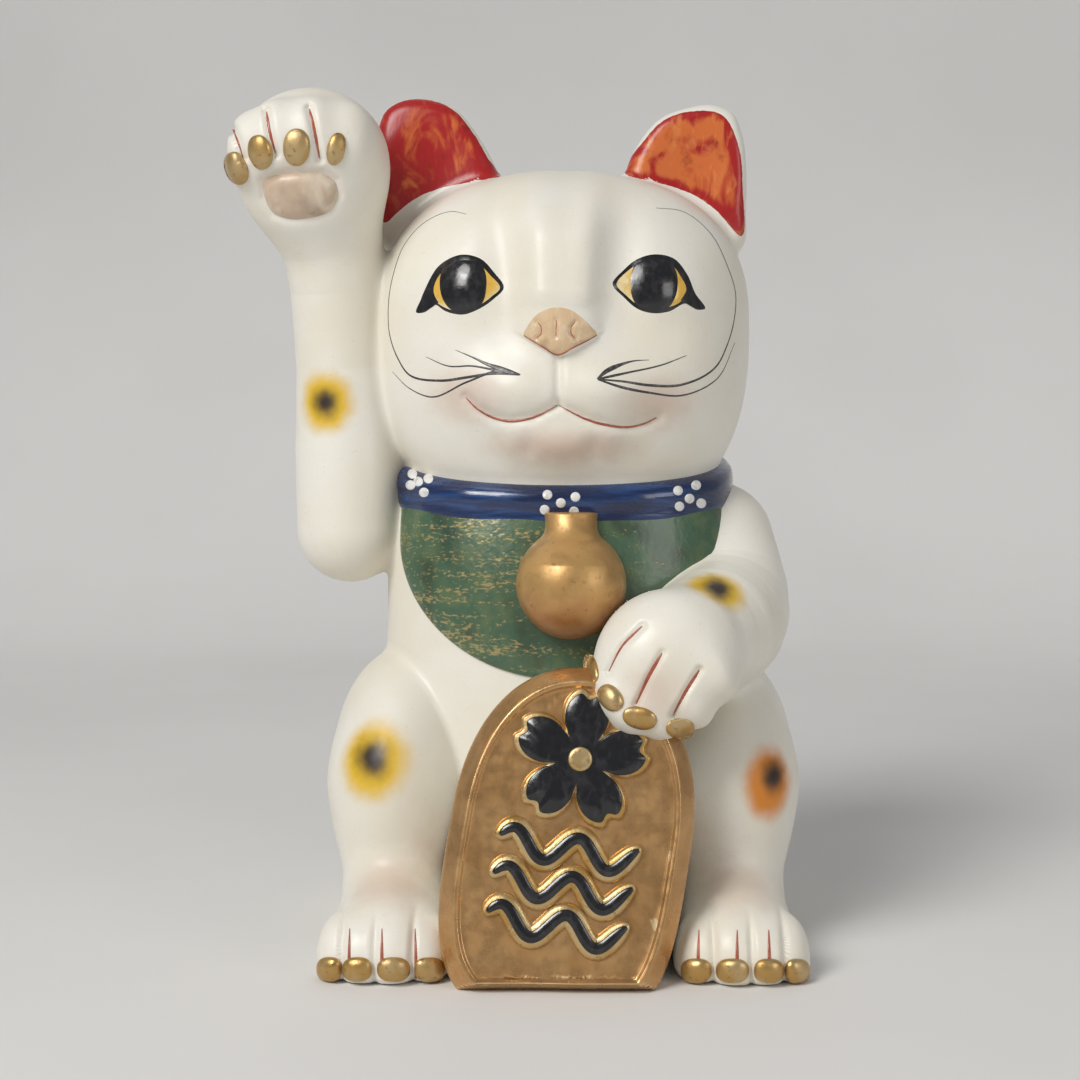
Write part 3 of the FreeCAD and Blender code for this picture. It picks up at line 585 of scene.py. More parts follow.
def casting(name, neighbours, spine, radius, rows, cols, under=0.0, reach=110.0, front=0.0, spare=1.0):
    """One casting's share of the common skin. From a spine, lines go out all round: square to the spine along
    its length, and fanned over half a ball at its ends. Each line goes out by the field's own value until the
    greater of the common field and the casting's share of space is nought."""
    near, own = whole(name, *neighbours), share(name, *neighbours, spare=spare)
    spine = np.asarray(spine, float)
    knots = np.concatenate([[0], np.cumsum(np.linalg.norm(np.diff(spine, axis=0), axis=1))])
    length = knots[-1]
    arc = np.linspace(0, length + np.pi * radius, rows + 1)
    lift = np.clip(arc / radius, 0, np.pi / 2) - np.pi / 2
    lift = lift + np.clip((arc - length) / radius - np.pi / 2, 0, np.pi / 2)
    place = np.clip(arc - radius * np.pi / 2, 0, length)
    origin = curve(place, knots, spine)
    after, before = (curve(np.clip(place + step, 0, length), knots, spine) for step in (0.5, -0.5))
    tangent = unit(after - before)
    ahead = np.array((0.0, -1.0, 0.0)) if abs(tangent[0][1]) < 0.8 else np.array((0.0, 0.0, 1.0))
    across = unit(np.cross(tangent, ahead))
    ahead = unit(np.cross(across, tangent))
    v = 2 * np.pi * np.arange(cols) / cols
    v = v - front * np.sin(v)
    radial = np.cos(v)[:, None] * ahead[:, None] + np.sin(v)[:, None] * across[:, None]
    line = np.cos(lift)[:, None, None] * radial + np.sin(lift)[:, None, None] * tangent[:, None]
    start = np.broadcast_to(origin[:, None], line.shape)

    def field(p):
        return np.maximum(near(p) + under, own(p))
    t, value = np.zeros(line.shape[:2]), field(start)
    slant = np.ones(line.shape[:2])
    for turn in range(15):
        step = np.clip(-value * (0.9 if turn < 8 else 1.0) / slant, -3, 30)
        t = np.clip(t + step, 0, reach)
        after = field(start + line * t[..., None])
        if turn > 5:
            moved = np.where(abs(step) > 1e-4, step, 1e-4)
            slant = np.clip((after - value) / moved, 0.25, 1.3)
        value = after
    points = start + line * t[..., None]
    points[..., 2] = np.maximum(points[..., 2], 0)
    return shell(points, slope(near, points))


def laid(field, outline, height, dome=False, rings=9, middle=None, deep=0.6):
    """A patch laid on a skin. A point at share r from the outline's middle to its edge is cast on to the skin
    and lifted along the skin's normal by height times 1 - r^8, or times the root of 1 - r^2 for a dome. The
    under side comes back a little below the skin."""
    middle = outline.mean(0) if middle is None else np.asarray(middle, float)
    r = np.sin(np.linspace(0, np.pi / 2, rings + 1))
    flat = middle + r[:, None, None] * (outline - middle)
    on = cast(field, flat)
    out = slope(field, on)
    lift = height * (np.sqrt(np.maximum(1 - r**2, 0)) if dome else 1 - r**8)
    top = on + out * lift[:, None, None]
    under = on[::-1] - out[::-1] * deep
    rows = np.concatenate([top, under])
    rows[..., 2] = np.maximum(rows[..., 2], 0.05)
    return shell(rows)


SECTION = np.array(((-1, 0), (-0.75, 0.75), (0, 1), (0.75, 0.75), (1, 0), (0.8, -2.5), (-0.8, -2.5)), float)


def brushed(field, line, widths, height=0.10, count=56):
    """A brush stroke: a lens-shaped section, half as wide as the widths say along its length, carried along a
    smooth line cast on to the skin."""
    flat = along(line, count)
    on = cast(field, flat)
    out = slope(field, on)
    forward = unit(np.gradient(on, axis=0))
    across = unit(np.cross(forward, out))
    wide = curve(np.linspace(0, 1, count), np.linspace(0, 1, len(widths)), widths)
    wide = np.maximum(wide, 0.02)
    rows = (on[:, None] + across[:, None] * (SECTION[:, 0] * wide[:, None])[..., None]
            + out[:, None] * (SECTION[:, 1] * height)[None, :, None])
    return shell(rows)


# ---------------------------------------------------------------- sizes and colours
class CatSizes(bpy.types.PropertyGroup):
    """Sizes of what is laid and painted on the cat."""
    nail_rise: bpy.props.FloatProperty(name="Nail rise", description="How far a nail stands out of its toe",
                                       default=0.0021, unit="LENGTH")
    pad_rise: bpy.props.FloatProperty(name="Pad rise",
                                      description="How far the pad stands out of the raised paw",
                                      default=0.0012, unit="LENGTH")
    bib_thickness: bpy.props.FloatProperty(name="Bib thickness",
                                           description="How far the bib stands off the chest",
                                           default=0.0022, unit="LENGTH")
    dot_radius: bpy.props.FloatProperty(name="Dot radius", description="Radius of a white dot on the collar",
                                        default=0.0018, unit="LENGTH")
    paint_height: bpy.props.FloatProperty(name="Paint height", description="How far a brush stroke stands up",
                                          default=0.0001, unit="LENGTH", precision=5)
    relief_height: bpy.props.FloatProperty(name="Relief height",
                                           description="How far the plaque's ornament stands up",
                                           default=0.0022, unit="LENGTH")


def colour(name, text, value):
    """A colour that the panel lets the maker choose."""
    return bpy.props.FloatVectorProperty(name=name, description=text, default=value, subtype="COLOR",
                                         min=0, max=1)


class CatColours(bpy.types.PropertyGroup):
    """Colours of the glaze and the enamels."""
    white: colour("White", "The body's glaze", (0.80, 0.775, 0.70))
    cream: colour("Cream", "Thin places of the body's glaze", (0.74, 0.67, 0.52))
    # this colour is also the painted shade in the inner crease of each haunch, beside the plaque
    blush: colour("Blush", "The sprayed shade under the muzzle and on the shins", (0.56, 0.37, 0.28))
    yellow: colour("Yellow", "The sprayed ring of a spot", (0.72, 0.46, 0.03))
    amber: colour("Amber", "The sprayed ring of the outer spot", (0.70, 0.24, 0.02))
    soot: colour("Soot", "The dark heart of a spot", (0.03, 0.018, 0.012))
    crimson: colour("Crimson", "The ears' deeper red", (0.38, 0.012, 0.012))
    orange: colour("Orange", "The ears' lighter red", (0.62, 0.15, 0.035))
    gold: colour("Gold", "Nails and the ornament's sides", (0.50, 0.31, 0.10))
    bronze: colour("Bronze", "The plaque", (0.50, 0.275, 0.105))
    black: colour("Black", "Pupils, whiskers and ornament", (0.006, 0.006, 0.007))
    green: colour("Green", "The bib", (0.055, 0.115, 0.065))
    blue: colour("Blue", "The collar", (0.004, 0.016, 0.075))
    iris: colour("Iris", "The eyes' yellow", (0.72, 0.44, 0.07))
    nose: colour("Nose", "The nose's tan", (0.66, 0.47, 0.28))
    lip: colour("Lip", "The mouth and the lines between the toes", (0.36, 0.075, 0.04))


class Finish:
    """One node material on Object coordinates, and short ways to add nodes to it."""

    def __init__(self, name, **sockets):
        self.material = bpy.data.materials.new(name)
        self.material.use_nodes = True
        self.tree = self.material.node_tree
        self.shader = self.tree.nodes["Principled BSDF"]
        for key, value in sockets.items():
            self.shader.inputs[key.replace("_", " ")].default_value = value
        self.place = self.add("ShaderNodeTexCoord").outputs["Object"]

    def add(self, kind, inputs=None, **settings):
        """A node with its settings made and its inputs linked or filled in."""
        node = self.tree.nodes.new(kind)
        for key, value in settings.items():
            setattr(node, key, value)
        for key, value in (inputs or {}).items():
            if isinstance(value, bpy.types.NodeSocket):
                self.tree.links.new(value, node.inputs[key])
            else:
                node.inputs[key].default_value = value
        return node

    def link(self, key, socket):
        """Links an input of the shader."""
        self.tree.links.new(socket, self.shader.inputs[key])

    def noise(self, scale, detail=2.0, stretch=(1, 1, 1), distortion=0.0):
        """Noise from 0 to 1 over the object's own coordinates."""
        mapped = self.add("ShaderNodeMapping", {"Vector": self.place, "Scale": stretch})
        return self.add("ShaderNodeTexNoise", {"Vector": mapped.outputs[0], "Scale": scale, "Detail": detail,
                                               "Distortion": distortion}).outputs["Fac"]

    def ramp(self, socket, low, high, out_low=0.0, out_high=1.0):
        """Straight from out_low at low to out_high at high, eased at both ends."""
        node = self.add("ShaderNodeMapRange", {"Value": socket, "From Min": low, "From Max": high,
                                               "To Min": out_low, "To Max": out_high},
                        interpolation_type="SMOOTHSTEP")
        return node.outputs["Result"]

    def math(self, operation, a, b=0.0):
        """One sum on two numbers."""
        return self.add("ShaderNodeMath", {0: a, 1: b}, operation=operation).outputs[0]

    def mix(self, share, a, b):
        """From one colour at share 0 to the other at share 1."""
        node = self.add("ShaderNodeMix", {0: share}, data_type="RGBA")
        for key, value in ((6, a), (7, b)):
            if isinstance(value, bpy.types.NodeSocket):
                self.tree.links.new(value, node.inputs[key])
            else:
                node.inputs[key].default_value = (*value, 1)
        return node.outputs[2]

    def reach(self, middle, size):
        """How far a point is from a middle, in half axes of an egg."""
        away = self.place
        for operation, value in (("SUBTRACT", middle), ("DIVIDE", size)):
            inputs = {0: away, 1: tuple(np.asarray(value) * 0.001)}
            away = self.add("ShaderNodeVectorMath", inputs, operation=operation).outputs[0]
        return self.add("ShaderNodeVectorMath", {0: away}, operation="LENGTH").outputs["Value"]

    def bumps(self, socket, strength, distance):
        """Fine relief from a height."""
        node = self.add("ShaderNodeBump", {"Height": socket, "Strength": strength, "Distance": distance})
        self.link("Normal", node.outputs[0])


def settings():
    """The sizes and the colours in force."""
    return bpy.context.scene.cat_sizes, bpy.context.scene.cat_colours


def shared(name, paint, *words):
    """A finish that several pieces share, made the first time it is asked for."""
    return bpy.data.materials.get(name) or paint(*words)


# ---------------------------------------------------------------- finishes
# a casting, its skin, the spot's middle on the drawing plane, its reach, and how far off its dark heart lies
SPOTS = (
    ("raised_foreleg", ("torso", "arm-"), (-5.2, -4.5), (12.5, 16, 13.5), (0.0, 0.0, 0.0)),
    ("haunch_raised_side", ("torso", "haunch-"), (-8.7, 4.9), (16.5, 18, 16.5), (0.5, 0.0, 0.5)),
    ("lowered_foreleg", ("torso", "arm+"), (5.3, -0.4), (13.0, 16, 11.0), (0.5, 0.0, 0.5)),
    ("haunch_lowered_side", ("torso", "haunch+"), (13.8, -3.5), (11.5, 20, 15.0), (2.0, 0.0, 2.5)))
BLUSH_AND_CREASE_SHADE = (   # where the blush is sprayed, and where painted shade darkens the inner crease of each haunch by the plaque: its middle, its reach and its strength
    ("head_shell", (0.25, 0.06, 0.27), (19, 30, 13), 0.50),
    ("head_shell", (0.75, 0.06, 0.25), (19, 30, 12), 0.50),
    ("head_shell", (0.50, 0.08, 0.12), (34, 28, 9), 0.58),
    # painted shade: the inner crease of each haunch, beside the belly and the plaque
    ("haunch_raised_side", (0.86, 0.20, 0.26), (13, 26, 24), 0.45),
    ("haunch_lowered_side", (0.22, 0.20, 0.30), (17, 26, 28), 0.50),
    ("hind_foot_raised_side", (0.50, 0.38, 0.95), (22, 22, 11), 0.42),
    ("hind_foot_lowered_side", (0.50, 0.38, 0.95), (22, 22, 11), 0.42),
    ("raised_paw", (0.50, 0.02, 0.25), (22, 12, 14), 0.60),
    ("lowered_paw", (0.42, 0.02, 0.34), (13, 9, 13), 0.40))


def white_glaze():
    """Cream-white satin glaze, broken by broad and fine clouds, thin and warm in places, with sprayed blush,
    painted shade in the haunches' inner creases, and four sprayed spots."""
    tint = settings()[1]
    f = Finish("painted_glaze", Roughness=0.42, Specular_IOR_Level=0.40, Coat_Weight=0.16,
               Coat_Roughness=0.28)
    cloud = f.ramp(f.noise(24, 3), 0.35, 0.70, 0.0, 0.5)
    base = f.mix(cloud, tint.white, tint.cream)
    fleck = f.ramp(f.noise(900, 2), 0.66, 0.74, 0.0, 0.35)
    base = f.mix(fleck, base, tuple(c * 0.82 for c in tint.cream))
    ragged = f.math("MULTIPLY", f.math("SUBTRACT", f.noise(160, 3), 0.5), 0.5)
    # sprayed blush, and painted shade in the inner creases of the haunches
    for node, place, size, strength in BLUSH_AND_CREASE_SHADE:
        away = f.math("ADD", f.reach(at(node, *place), size), ragged)
        base = f.mix(f.ramp(away, 0.15, 1.15, strength, 0.0), base, tint.blush)
    for number, (node, names, place, size, off) in enumerate(SPOTS):
        middle = cast(whole(*names), plan(node, [place]))[0]
        away = f.math("ADD", f.reach(middle, size), f.math("MULTIPLY", ragged, 0.5))
        ring = tint.amber if number == 3 else tint.yellow
        base = f.mix(f.ramp(away, 0.50, 1.12, 1.0, 0.0), base, ring)
        heart = f.math("ADD", f.reach(middle + np.array(off), np.array(size) * (0.55, 1.0, 0.55)), ragged)
        base = f.mix(f.ramp(heart, 0.15, 1.15, 1.0, 0.0), base, tint.soot)
    f.link("Base Color", base)
    f.link("Roughness", f.ramp(f.noise(70, 3), 0.3, 0.7, 0.36, 0.52))
    f.bumps(f.math("ADD", f.noise(55, 4), f.math("MULTIPLY", f.noise(420, 2), 0.22)), 0.30, 0.0012)
    return f.material


def ear_enamel(side):
    """Red enamel dabbed over orange inside its edge, deeper red along the edge and at its foot, cream-white
    glaze outside it."""
    tint = settings()[1]
    node = "ear_" + SIDES[side]
    f = Finish("ear_enamel_" + SIDES[side], Roughness=0.32, Specular_IOR_Level=0.4, Coat_Weight=0.25,
               Coat_Roughness=0.2)
    edge = f.add("ShaderNodeAttribute", attribute_name="edge").outputs["Fac"]
    dab = f.noise(75, 5, (1.0, 1.0, 0.6), 1.2)
    height = f.add("ShaderNodeSeparateXYZ", {0: f.place}).outputs[2]
    foot = f.ramp(height, at(node, 0, 0, 0.10)[2] * 0.001, at(node, 0, 0, 0.62)[2] * 0.001, 0.16, 0.0)
    rim = f.ramp(edge, -5.0, 0.0, 0.0, 0.22)
    amount = f.math("ADD", dab, f.math("ADD", foot, rim))
    low = 0.36 if side < 0 else 0.50
    base = f.mix(f.ramp(amount, low, low + 0.20), tint.orange, tint.crimson)
    streak = f.ramp(f.noise(260, 4, (1.0, 1.0, 0.45), 0.8), 0.52, 0.72, 0.0, 0.45)
    base = f.mix(streak, base, (0.74, 0.27, 0.08) if side > 0 else (0.55, 0.10, 0.03))
    dark = f.ramp(f.noise(140, 3), 0.58, 0.76, 0.0, 0.5)
    base = f.mix(dark, base, tuple(c * 0.45 for c in tint.crimson))
    cloud = f.mix(f.ramp(f.noise(24, 3), 0.35, 0.70, 0.0, 0.5), tint.white, tint.cream)
    ragged = f.math("ADD", edge, f.math("MULTIPLY", f.math("SUBTRACT", f.noise(500, 2), 0.5), 0.5))
    f.link("Base Color", f.mix(f.ramp(ragged, -0.12, 0.12), base, cloud))
    f.bumps(f.noise(500, 3, (1.0, 1.0, 0.3)), 0.30, 0.0004)
    return f.material


def metal(name, tone, dull, shade, rough=0.36, grain=300.0):
    """Fired lustre: a metal sheen over clouds of a duller tone, with dark wear and a fine grain."""
    f = Finish(name, Metallic=0.78, Coat_Weight=0.15, Coat_Roughness=0.25)
    cloud = f.ramp(f.noise(95, 4, distortion=0.4), 0.38, 0.64)
    base = f.mix(cloud, tone, dull)
    wear = f.ramp(f.noise(grain, 3), 0.58, 0.76, 0.0, 0.65)
    base = f.mix(wear, base, shade)
    f.link("Base Color", base)
    f.link("Roughness", f.ramp(f.noise(180, 3), 0.3, 0.7, rough - 0.08, rough + 0.14))
    f.bumps(f.noise(grain * 1.5, 3), 0.25, 0.0004)
    return f.material


def nail_gold():
    """Old gold, dull and brown in places."""
    tint = settings()[1]
    return metal("nail_gold", tint.gold, (0.55, 0.40, 0.20), (0.16, 0.08, 0.04), 0.38, 500)


def bell_gold():
    """The bell's lustre, with painted shade in orange and brown on its under side."""
    f = Finish("bell_gold", Metallic=0.55, Coat_Weight=0.25, Coat_Roughness=0.3)
    low = corners("bell")[0]
    height = f.add("ShaderNodeSeparateXYZ", {0: f.place}).outputs[2]
    rag = f.math("MULTIPLY", f.math("SUBTRACT", f.noise(70, 3), 0.5), 0.02)
    # painted shade: darker towards the bottom of the bell
    underside_shade = f.ramp(f.math("ADD", height, rag), low[2] * 0.001, (low[2] + 26) * 0.001, 1.0, 0.0)
    base = f.mix(f.ramp(f.noise(80, 4, distortion=0.5), 0.4, 0.65), (0.60, 0.36, 0.13), (0.46, 0.265, 0.09))
    base = f.mix(f.math("MULTIPLY", underside_shade, 0.7), base, (0.34, 0.12, 0.04))
    wear = f.ramp(f.noise(420, 3), 0.60, 0.78, 0.0, 0.5)
    base = f.mix(wear, base, (0.12, 0.06, 0.03))
    f.link("Base Color", base)
    f.link("Roughness", f.ramp(f.noise(160, 3), 0.3, 0.7, 0.36, 0.50))
    f.bumps(f.noise(600, 3), 0.2, 0.0004)
    return f.material


def plaque_bronze():
    """Brown-gold lustre: sponged clouds of brown and pale gold, with a painted highlight along the rim."""
    tint = settings()[1]
    f = Finish("plaque_bronze", Metallic=0.8, Coat_Weight=0.25, Coat_Roughness=0.25)
    cloud = f.ramp(f.noise(62, 5, distortion=0.6), 0.36, 0.66)
    base = f.mix(cloud, tint.bronze, (0.60, 0.35, 0.145))
    sponge = f.ramp(f.noise(330, 3, distortion=0.3), 0.54, 0.74, 0.0, 0.22)
    base = f.mix(sponge, base, (0.34, 0.165, 0.06))
    geometry = f.add("ShaderNodeNewGeometry")
    # painted highlight: pale gold where the surface is sharply convex, along the rim and its bevel
    edge = f.ramp(geometry.outputs["Pointiness"], 0.505, 0.55, 0.0, 0.8)
    base = f.mix(edge, base, (0.82, 0.62, 0.36))
    split = f.add("ShaderNodeSeparateXYZ", {0: f.place})
    foot = corners("coin_plaque")[0][1] * 0.001
    back = f.math("MULTIPLY", f.math("SUBTRACT", split.outputs[1], foot), float(np.cos(PLAQUE_LEAN)))
    back = f.math("SUBTRACT", back, f.math("MULTIPLY", split.outputs[2], float(np.sin(PLAQUE_LEAN))))
    back = f.math("ADD", back, f.math("MULTIPLY", f.math("SUBTRACT", f.noise(90, 2), 0.5), 0.002))
    white = f.ramp(back, 0.0135, 0.0142)
    f.link("Base Color", f.mix(white, base, tint.white))
    f.link("Metallic", f.ramp(back, 0.0135, 0.0142, 0.8, 0.0))
    f.link("Roughness", f.ramp(f.noise(210, 3), 0.3, 0.7, 0.24, 0.42))
    f.bumps(f.noise(520, 3, (1.0, 1.0, 0.5)), 0.2, 0.0005)
    return f.material


def ornament_gold():
    """Pale gold for the bevelled sides of the plaque's ornament."""
    return metal("ornament_gold", (0.60, 0.44, 0.22), settings()[1].gold, (0.22, 0.12, 0.05), 0.34, 600)


# each tone or the name of its colour, its lighter streaks, its roughness, its grain and its share of streaks
ENAMELS = {
    "black_gloss": ("black", (0.035, 0.034, 0.038), 0.16, 300, 0.6),
    "whisker_paint": ((0.03, 0.028, 0.03), (0.13, 0.12, 0.12), 0.4, 500, 0.7),
    "lip_paint": ("lip", (0.50, 0.20, 0.10), 0.35, 400, 0.6),
    "nose_paint": ("nose", (0.74, 0.60, 0.42), 0.3, 300, 0.7),
    "dot_white": ((0.72, 0.72, 0.70), (0.80, 0.80, 0.80), 0.3, 700, 0.7),
    "pad_glaze": ((0.58, 0.44, 0.32), (0.72, 0.63, 0.50), 0.34, 120, 0.9)}


def enamel(name):
    """Glossy enamel with brushed light streaks and pooled dark places."""
    tone, lighter, rough, scale, share = ENAMELS[name]
    if isinstance(tone, str):
        tone = getattr(settings()[1], tone)
    f = Finish(name, Roughness=rough, Specular_IOR_Level=0.5, Coat_Weight=0.4, Coat_Roughness=0.12)
    streak = f.ramp(f.noise(scale, 4, (1.0, 1.0, 0.6), 0.6), 0.46, 0.70, 0.0, share)
    base = f.mix(streak, tone, lighter)
    pooled = f.ramp(f.noise(scale * 0.5, 3), 0.52, 0.72, 0.0, 0.5)
    base = f.mix(pooled, base, tuple(c * 0.45 for c in tone))
    f.link("Base Color", base)
    f.link("Roughness", f.ramp(f.noise(scale * 1.5, 3), 0.3, 0.7, rough * 0.8, rough * 1.7))
    f.bumps(f.noise(scale * 2, 3), 0.25, 0.0003)
    return f.material


def iris_yellow(side):
    """Yellow enamel round the pupil, paling to cream at the rim of the eye."""
    tint = settings()[1]
    f = Finish("iris_yellow_" + SIDES[side], Roughness=0.14, Coat_Weight=0.6, Coat_Roughness=0.06)
    away = f.reach(at("eye_" + SIDES[side], 0.5, 0.5, 0.52), (15.5, 60, 11.5))
    ragged = f.math("ADD", away, f.math("MULTIPLY", f.math("SUBTRACT", f.noise(300, 3), 0.5), 0.35))
    base = f.mix(f.ramp(ragged, 0.72, 0.98), tint.iris, (0.80, 0.66, 0.36))
    dull = f.ramp(f.noise(420, 3), 0.5, 0.7, 0.0, 0.4)
    base = f.mix(dull, base, (0.55, 0.27, 0.04))
    f.link("Base Color", base)
    f.bumps(f.noise(700, 2), 0.1, 0.0002)
    return f.material


def bib_green():
    """Dark green enamel, speckled with gold that was dabbed over it; the speckles are thickened on the
    raised-paw side as a painted highlight.
    """
    tint = settings()[1]
    f = Finish("bib_green", Roughness=0.3, Specular_IOR_Level=0.45, Coat_Weight=0.3, Coat_Roughness=0.18)
    mottle = f.ramp(f.noise(150, 4), 0.40, 0.65)
    base = f.mix(mottle, tint.green, (0.10, 0.15, 0.07))
    dark = f.ramp(f.noise(75, 3), 0.50, 0.70, 0.0, 0.7)
    base = f.mix(dark, base, (0.014, 0.035, 0.024))
    # painted highlight: more gold speckles on the raised-paw side, where the light falls
    highlight_side = f.ramp(f.add("ShaderNodeSeparateXYZ", {0: f.place}).outputs[0], -0.058, 0.055, 0.10, -0.12)
    sweep = f.ramp(f.noise(95, 3, (0.25, 0.25, 2.6), 0.3), 0.38, 0.66, -0.09, 0.11)
    speck = f.math("ADD", f.noise(850, 3, (0.6, 0.6, 1.4)), f.math("ADD", highlight_side, sweep))
    gold = f.ramp(speck, 0.60, 0.80, 0.0, 0.7)
    base = f.mix(gold, base, (0.50, 0.38, 0.16))
    f.link("Base Color", base)
    f.link("Metallic", f.math("MULTIPLY", gold, 0.5))
    f.bumps(f.noise(420, 4), 0.4, 0.0005)
    return f.material


def collar_blue():
    """Cobalt enamel brushed round the neck: long streaks of dark and light blue under a glossy coat."""
    tint = settings()[1]
    f = Finish("collar_blue", Roughness=0.2, Coat_Weight=0.6, Coat_Roughness=0.08)
    streak = f.ramp(f.noise(170, 4, (0.35, 0.35, 3.2), 0.4), 0.40, 0.66)
    base = f.mix(streak, tint.blue, (0.010, 0.05, 0.17))
    dark = f.ramp(f.noise(60, 3, (0.7, 0.7, 1.5)), 0.46, 0.66, 0.0, 0.8)
    base = f.mix(dark, base, (0.004, 0.010, 0.045))
    f.link("Base Color", base)
    f.link("Roughness", f.ramp(f.noise(240, 3, (0.4, 0.4, 3.0)), 0.3, 0.7, 0.14, 0.34))
    f.bumps(f.noise(240, 3, (0.4, 0.4, 3.0)), 0.35, 0.0005)
    return f.material


# ---------------------------------------------------------------- the skins
LIMBS = ("haunch-", "foot-", "haunch+", "foot+", "arm-", "paw-", "arm+", "paw+")


def build_torso():
    """The body's share of the common skin."""
    low, high = corners("torso_shell")
    foot, top = np.array((TORSO_X, TORSO_Y, low[2] + 14)), np.array((TORSO_X, TORSO_Y - 8, high[2] - 20))
    rows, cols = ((260, 300))
    spine = [foot, (foot + top) / 2, top]
    part = casting("torso", ("head", "tail", *LIMBS), spine, 14.0, rows, cols, reach=130)
    make("body_glaze", [part], shared("painted_glaze", white_glaze), ("torso_shell",))


def build_head():
    """The head's share of the common skin, its lines drawn in towards the face."""
    rows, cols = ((250, 370))
    neighbours = ("torso", "arm-", "paw-", "arm+", "ear-", "ear+")
    spine = [HEAD_MID + (0, 4, -28), HEAD_MID + (0, 4, 0), HEAD_MID + (0, 4, 12)]
    part = casting("head", neighbours, spine, 12.0, rows, cols, reach=110, front=0.42)
    make("head_glaze", [part], shared("painted_glaze", white_glaze), ("head_shell",))


RED_RAISED = ((-21.1, 20.9), (-16, 25.2), (-4, 27.4), (5.9, 23.8), (13.9, 14.7), (19.7, 4.9), (23.5, -0.2),
              (11, -3.0), (1.5, -5.0), (-6, -8.0), (-12, -12.0), (-18.6, -17.5), (-20.9, -5.3), (-21.6, 9.2))
RED_LOWERED = ((-24.0, 0.6), (-16.4, 12.7), (-10.2, 19.2), (0, 22.7), (11.6, 21.2), (17.1, 11), (18.9, -5.3),
               (18.4, -22.6), (9.1, -13.0), (3, -8.6), (-3.7, -5.5), (-12, -3.0))


def inside(outline, x, z):
    """How far points of the drawing plane lie inside a closed line: negative inside, positive outside."""
    least, turns = np.full(x.shape, 1e9), np.zeros(x.shape)
    for a, b in zip(outline, np.roll(outline, -1, axis=0)):
        ab = b - a
        t = np.clip(((x - a[0]) * ab[0] + (z - a[1]) * ab[1]) / (ab @ ab), 0, 1)
        least = np.minimum(least, np.hypot(x - a[0] - t * ab[0], z - a[1] - t * ab[1]))
        ahead = ab[0] * (z - a[1]) - ab[1] * (x - a[0])
        turns += (a[1] <= z) & (b[1] > z) & (ahead > 0)
        turns -= (b[1] <= z) & (a[1] > z) & (ahead < 0)
    return np.where(turns != 0, -least, least)


def build_ears():
    """Each ear carries, at every point, how far it lies from the edge of its enamel."""
    rows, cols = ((110, 170))
    for side, points in ((-1, RED_RAISED), (1, RED_LOWERED)):
        name = SIDES[side]
        node = "ear_" + name
        spine = [at(node, 0.5, 0.68, share) for share in (0.28, 0.46, 0.66)]
        part = casting("ear" + MARKS[side], ("head", "paw-"), spine, 3.0, rows, cols, -0.03, 45, 0.3, 4.5)
        obj = make("ear_" + name + "_glaze", [part], ear_enamel(side), (node,))
        x, z = drawn(part[0])
        edge = inside(loop(plan(node, points), 90), x, z)
        edge = np.maximum(edge, part[0][:, 1] - at(node, 0, 0.62, 0)[1])
        held = obj.data.attributes.new("edge", "FLOAT", "POINT")
        held.data.foreach_set("value", edge.astype(np.float32))


def build_forelegs():
    """Both arms and both paws, each its own share of the common skin."""
    rows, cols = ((170, 170))
    glaze = shared("painted_glaze", white_glaze)
    arm = casting("arm-", ("torso", "head", "paw-"), RAISED_SPINE, 9.0, rows, cols, under=0.03, reach=70)
    make("raised_arm_glaze", [arm], glaze, ("raised_foreleg",))
    spine = [RAISED_PAW + (1, 4, -9), RAISED_PAW + (0, 4, 0), RAISED_PAW + (0, 4, 7)]
    neighbours = ("head", "arm-", "ear-")
    paw = casting("paw-", neighbours, spine, 8.0, rows, cols + 60, under=0.06, reach=60, front=0.35)
    make("raised_paw_glaze", [paw], glaze, ("raised_paw",))
    neighbours = ("torso", "head", "haunch+", "paw+")
    chord = np.linspace(LOWERED_SPINE[0], LOWERED_SPINE[-1], len(LOWERED_SPINE))
    spine = LOWERED_SPINE * 0.5 + chord * 0.5       # a gentler bend, so that the lines from it don't cross
    arm = casting("arm+", neighbours, spine, 9.0, rows, cols, under=0.03, reach=70, spare=1.5)
    make("lowered_arm_glaze", [arm], glaze, ("lowered_foreleg",))
    spine = [LOWERED_PAW + (5, 1, 4), LOWERED_PAW + (0, 1, 0), LOWERED_PAW + (-5, 1, -5)]
    neighbours = ("torso", "haunch+", "arm+")
    paw = casting("paw+", neighbours, spine, 6.0, rows, cols + 60, under=0.06, reach=50, front=0.3)
    make("lowered_paw_glaze", [paw], glaze, ("lowered_paw",))


def build_hind_legs():
    """Both haunches with their shins, and both feet."""
    rows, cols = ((150, 170))
    glaze = shared("painted_glaze", white_glaze)
    for side, name in SIDES.items():
        mark = MARKS[side]
        low, high = corners("haunch_" + name)
        middle = np.array((at("hind_foot_" + name, 0.5, 0, 0)[0] + side * 3, (low[1] + high[1]) / 2 + 2, 0))
        spine = [middle + (0, -20, low[2] + 20), middle + (0, -10, 48), middle + (0, 0, 72)]
        neighbours = ("torso", "foot" + mark, "arm" + mark)
        part = casting("haunch" + mark, neighbours, spine, 10.0, rows, cols, under=0.03, reach=70)
        make("haunch_glaze_" + name, [part], glaze, ("haunch_" + name,))
        foot_middle = at("hind_foot_" + name, 0.5, 0.5, 0)
        spine = [foot_middle + (0, 8, 11), foot_middle + (0, 0, 11), foot_middle + (0, -14, 9)]
        neighbours = ("torso", "haunch" + mark)
        part = casting("foot" + mark, neighbours, spine, 6.0, rows + 40, cols + 90, under=0.06, reach=50)
        make("foot_glaze_" + name, [part], glaze, ("hind_foot_" + name,))


def build_tail():
    """The tail, a bent limb against the back."""
    rows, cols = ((140, 90))
    part = casting("tail", ("torso",), TAIL_SPINE, 5.0, rows, cols, under=0.03, reach=40)
    make("tail_glaze", [part], shared("painted_glaze", white_glaze), ("tail",))


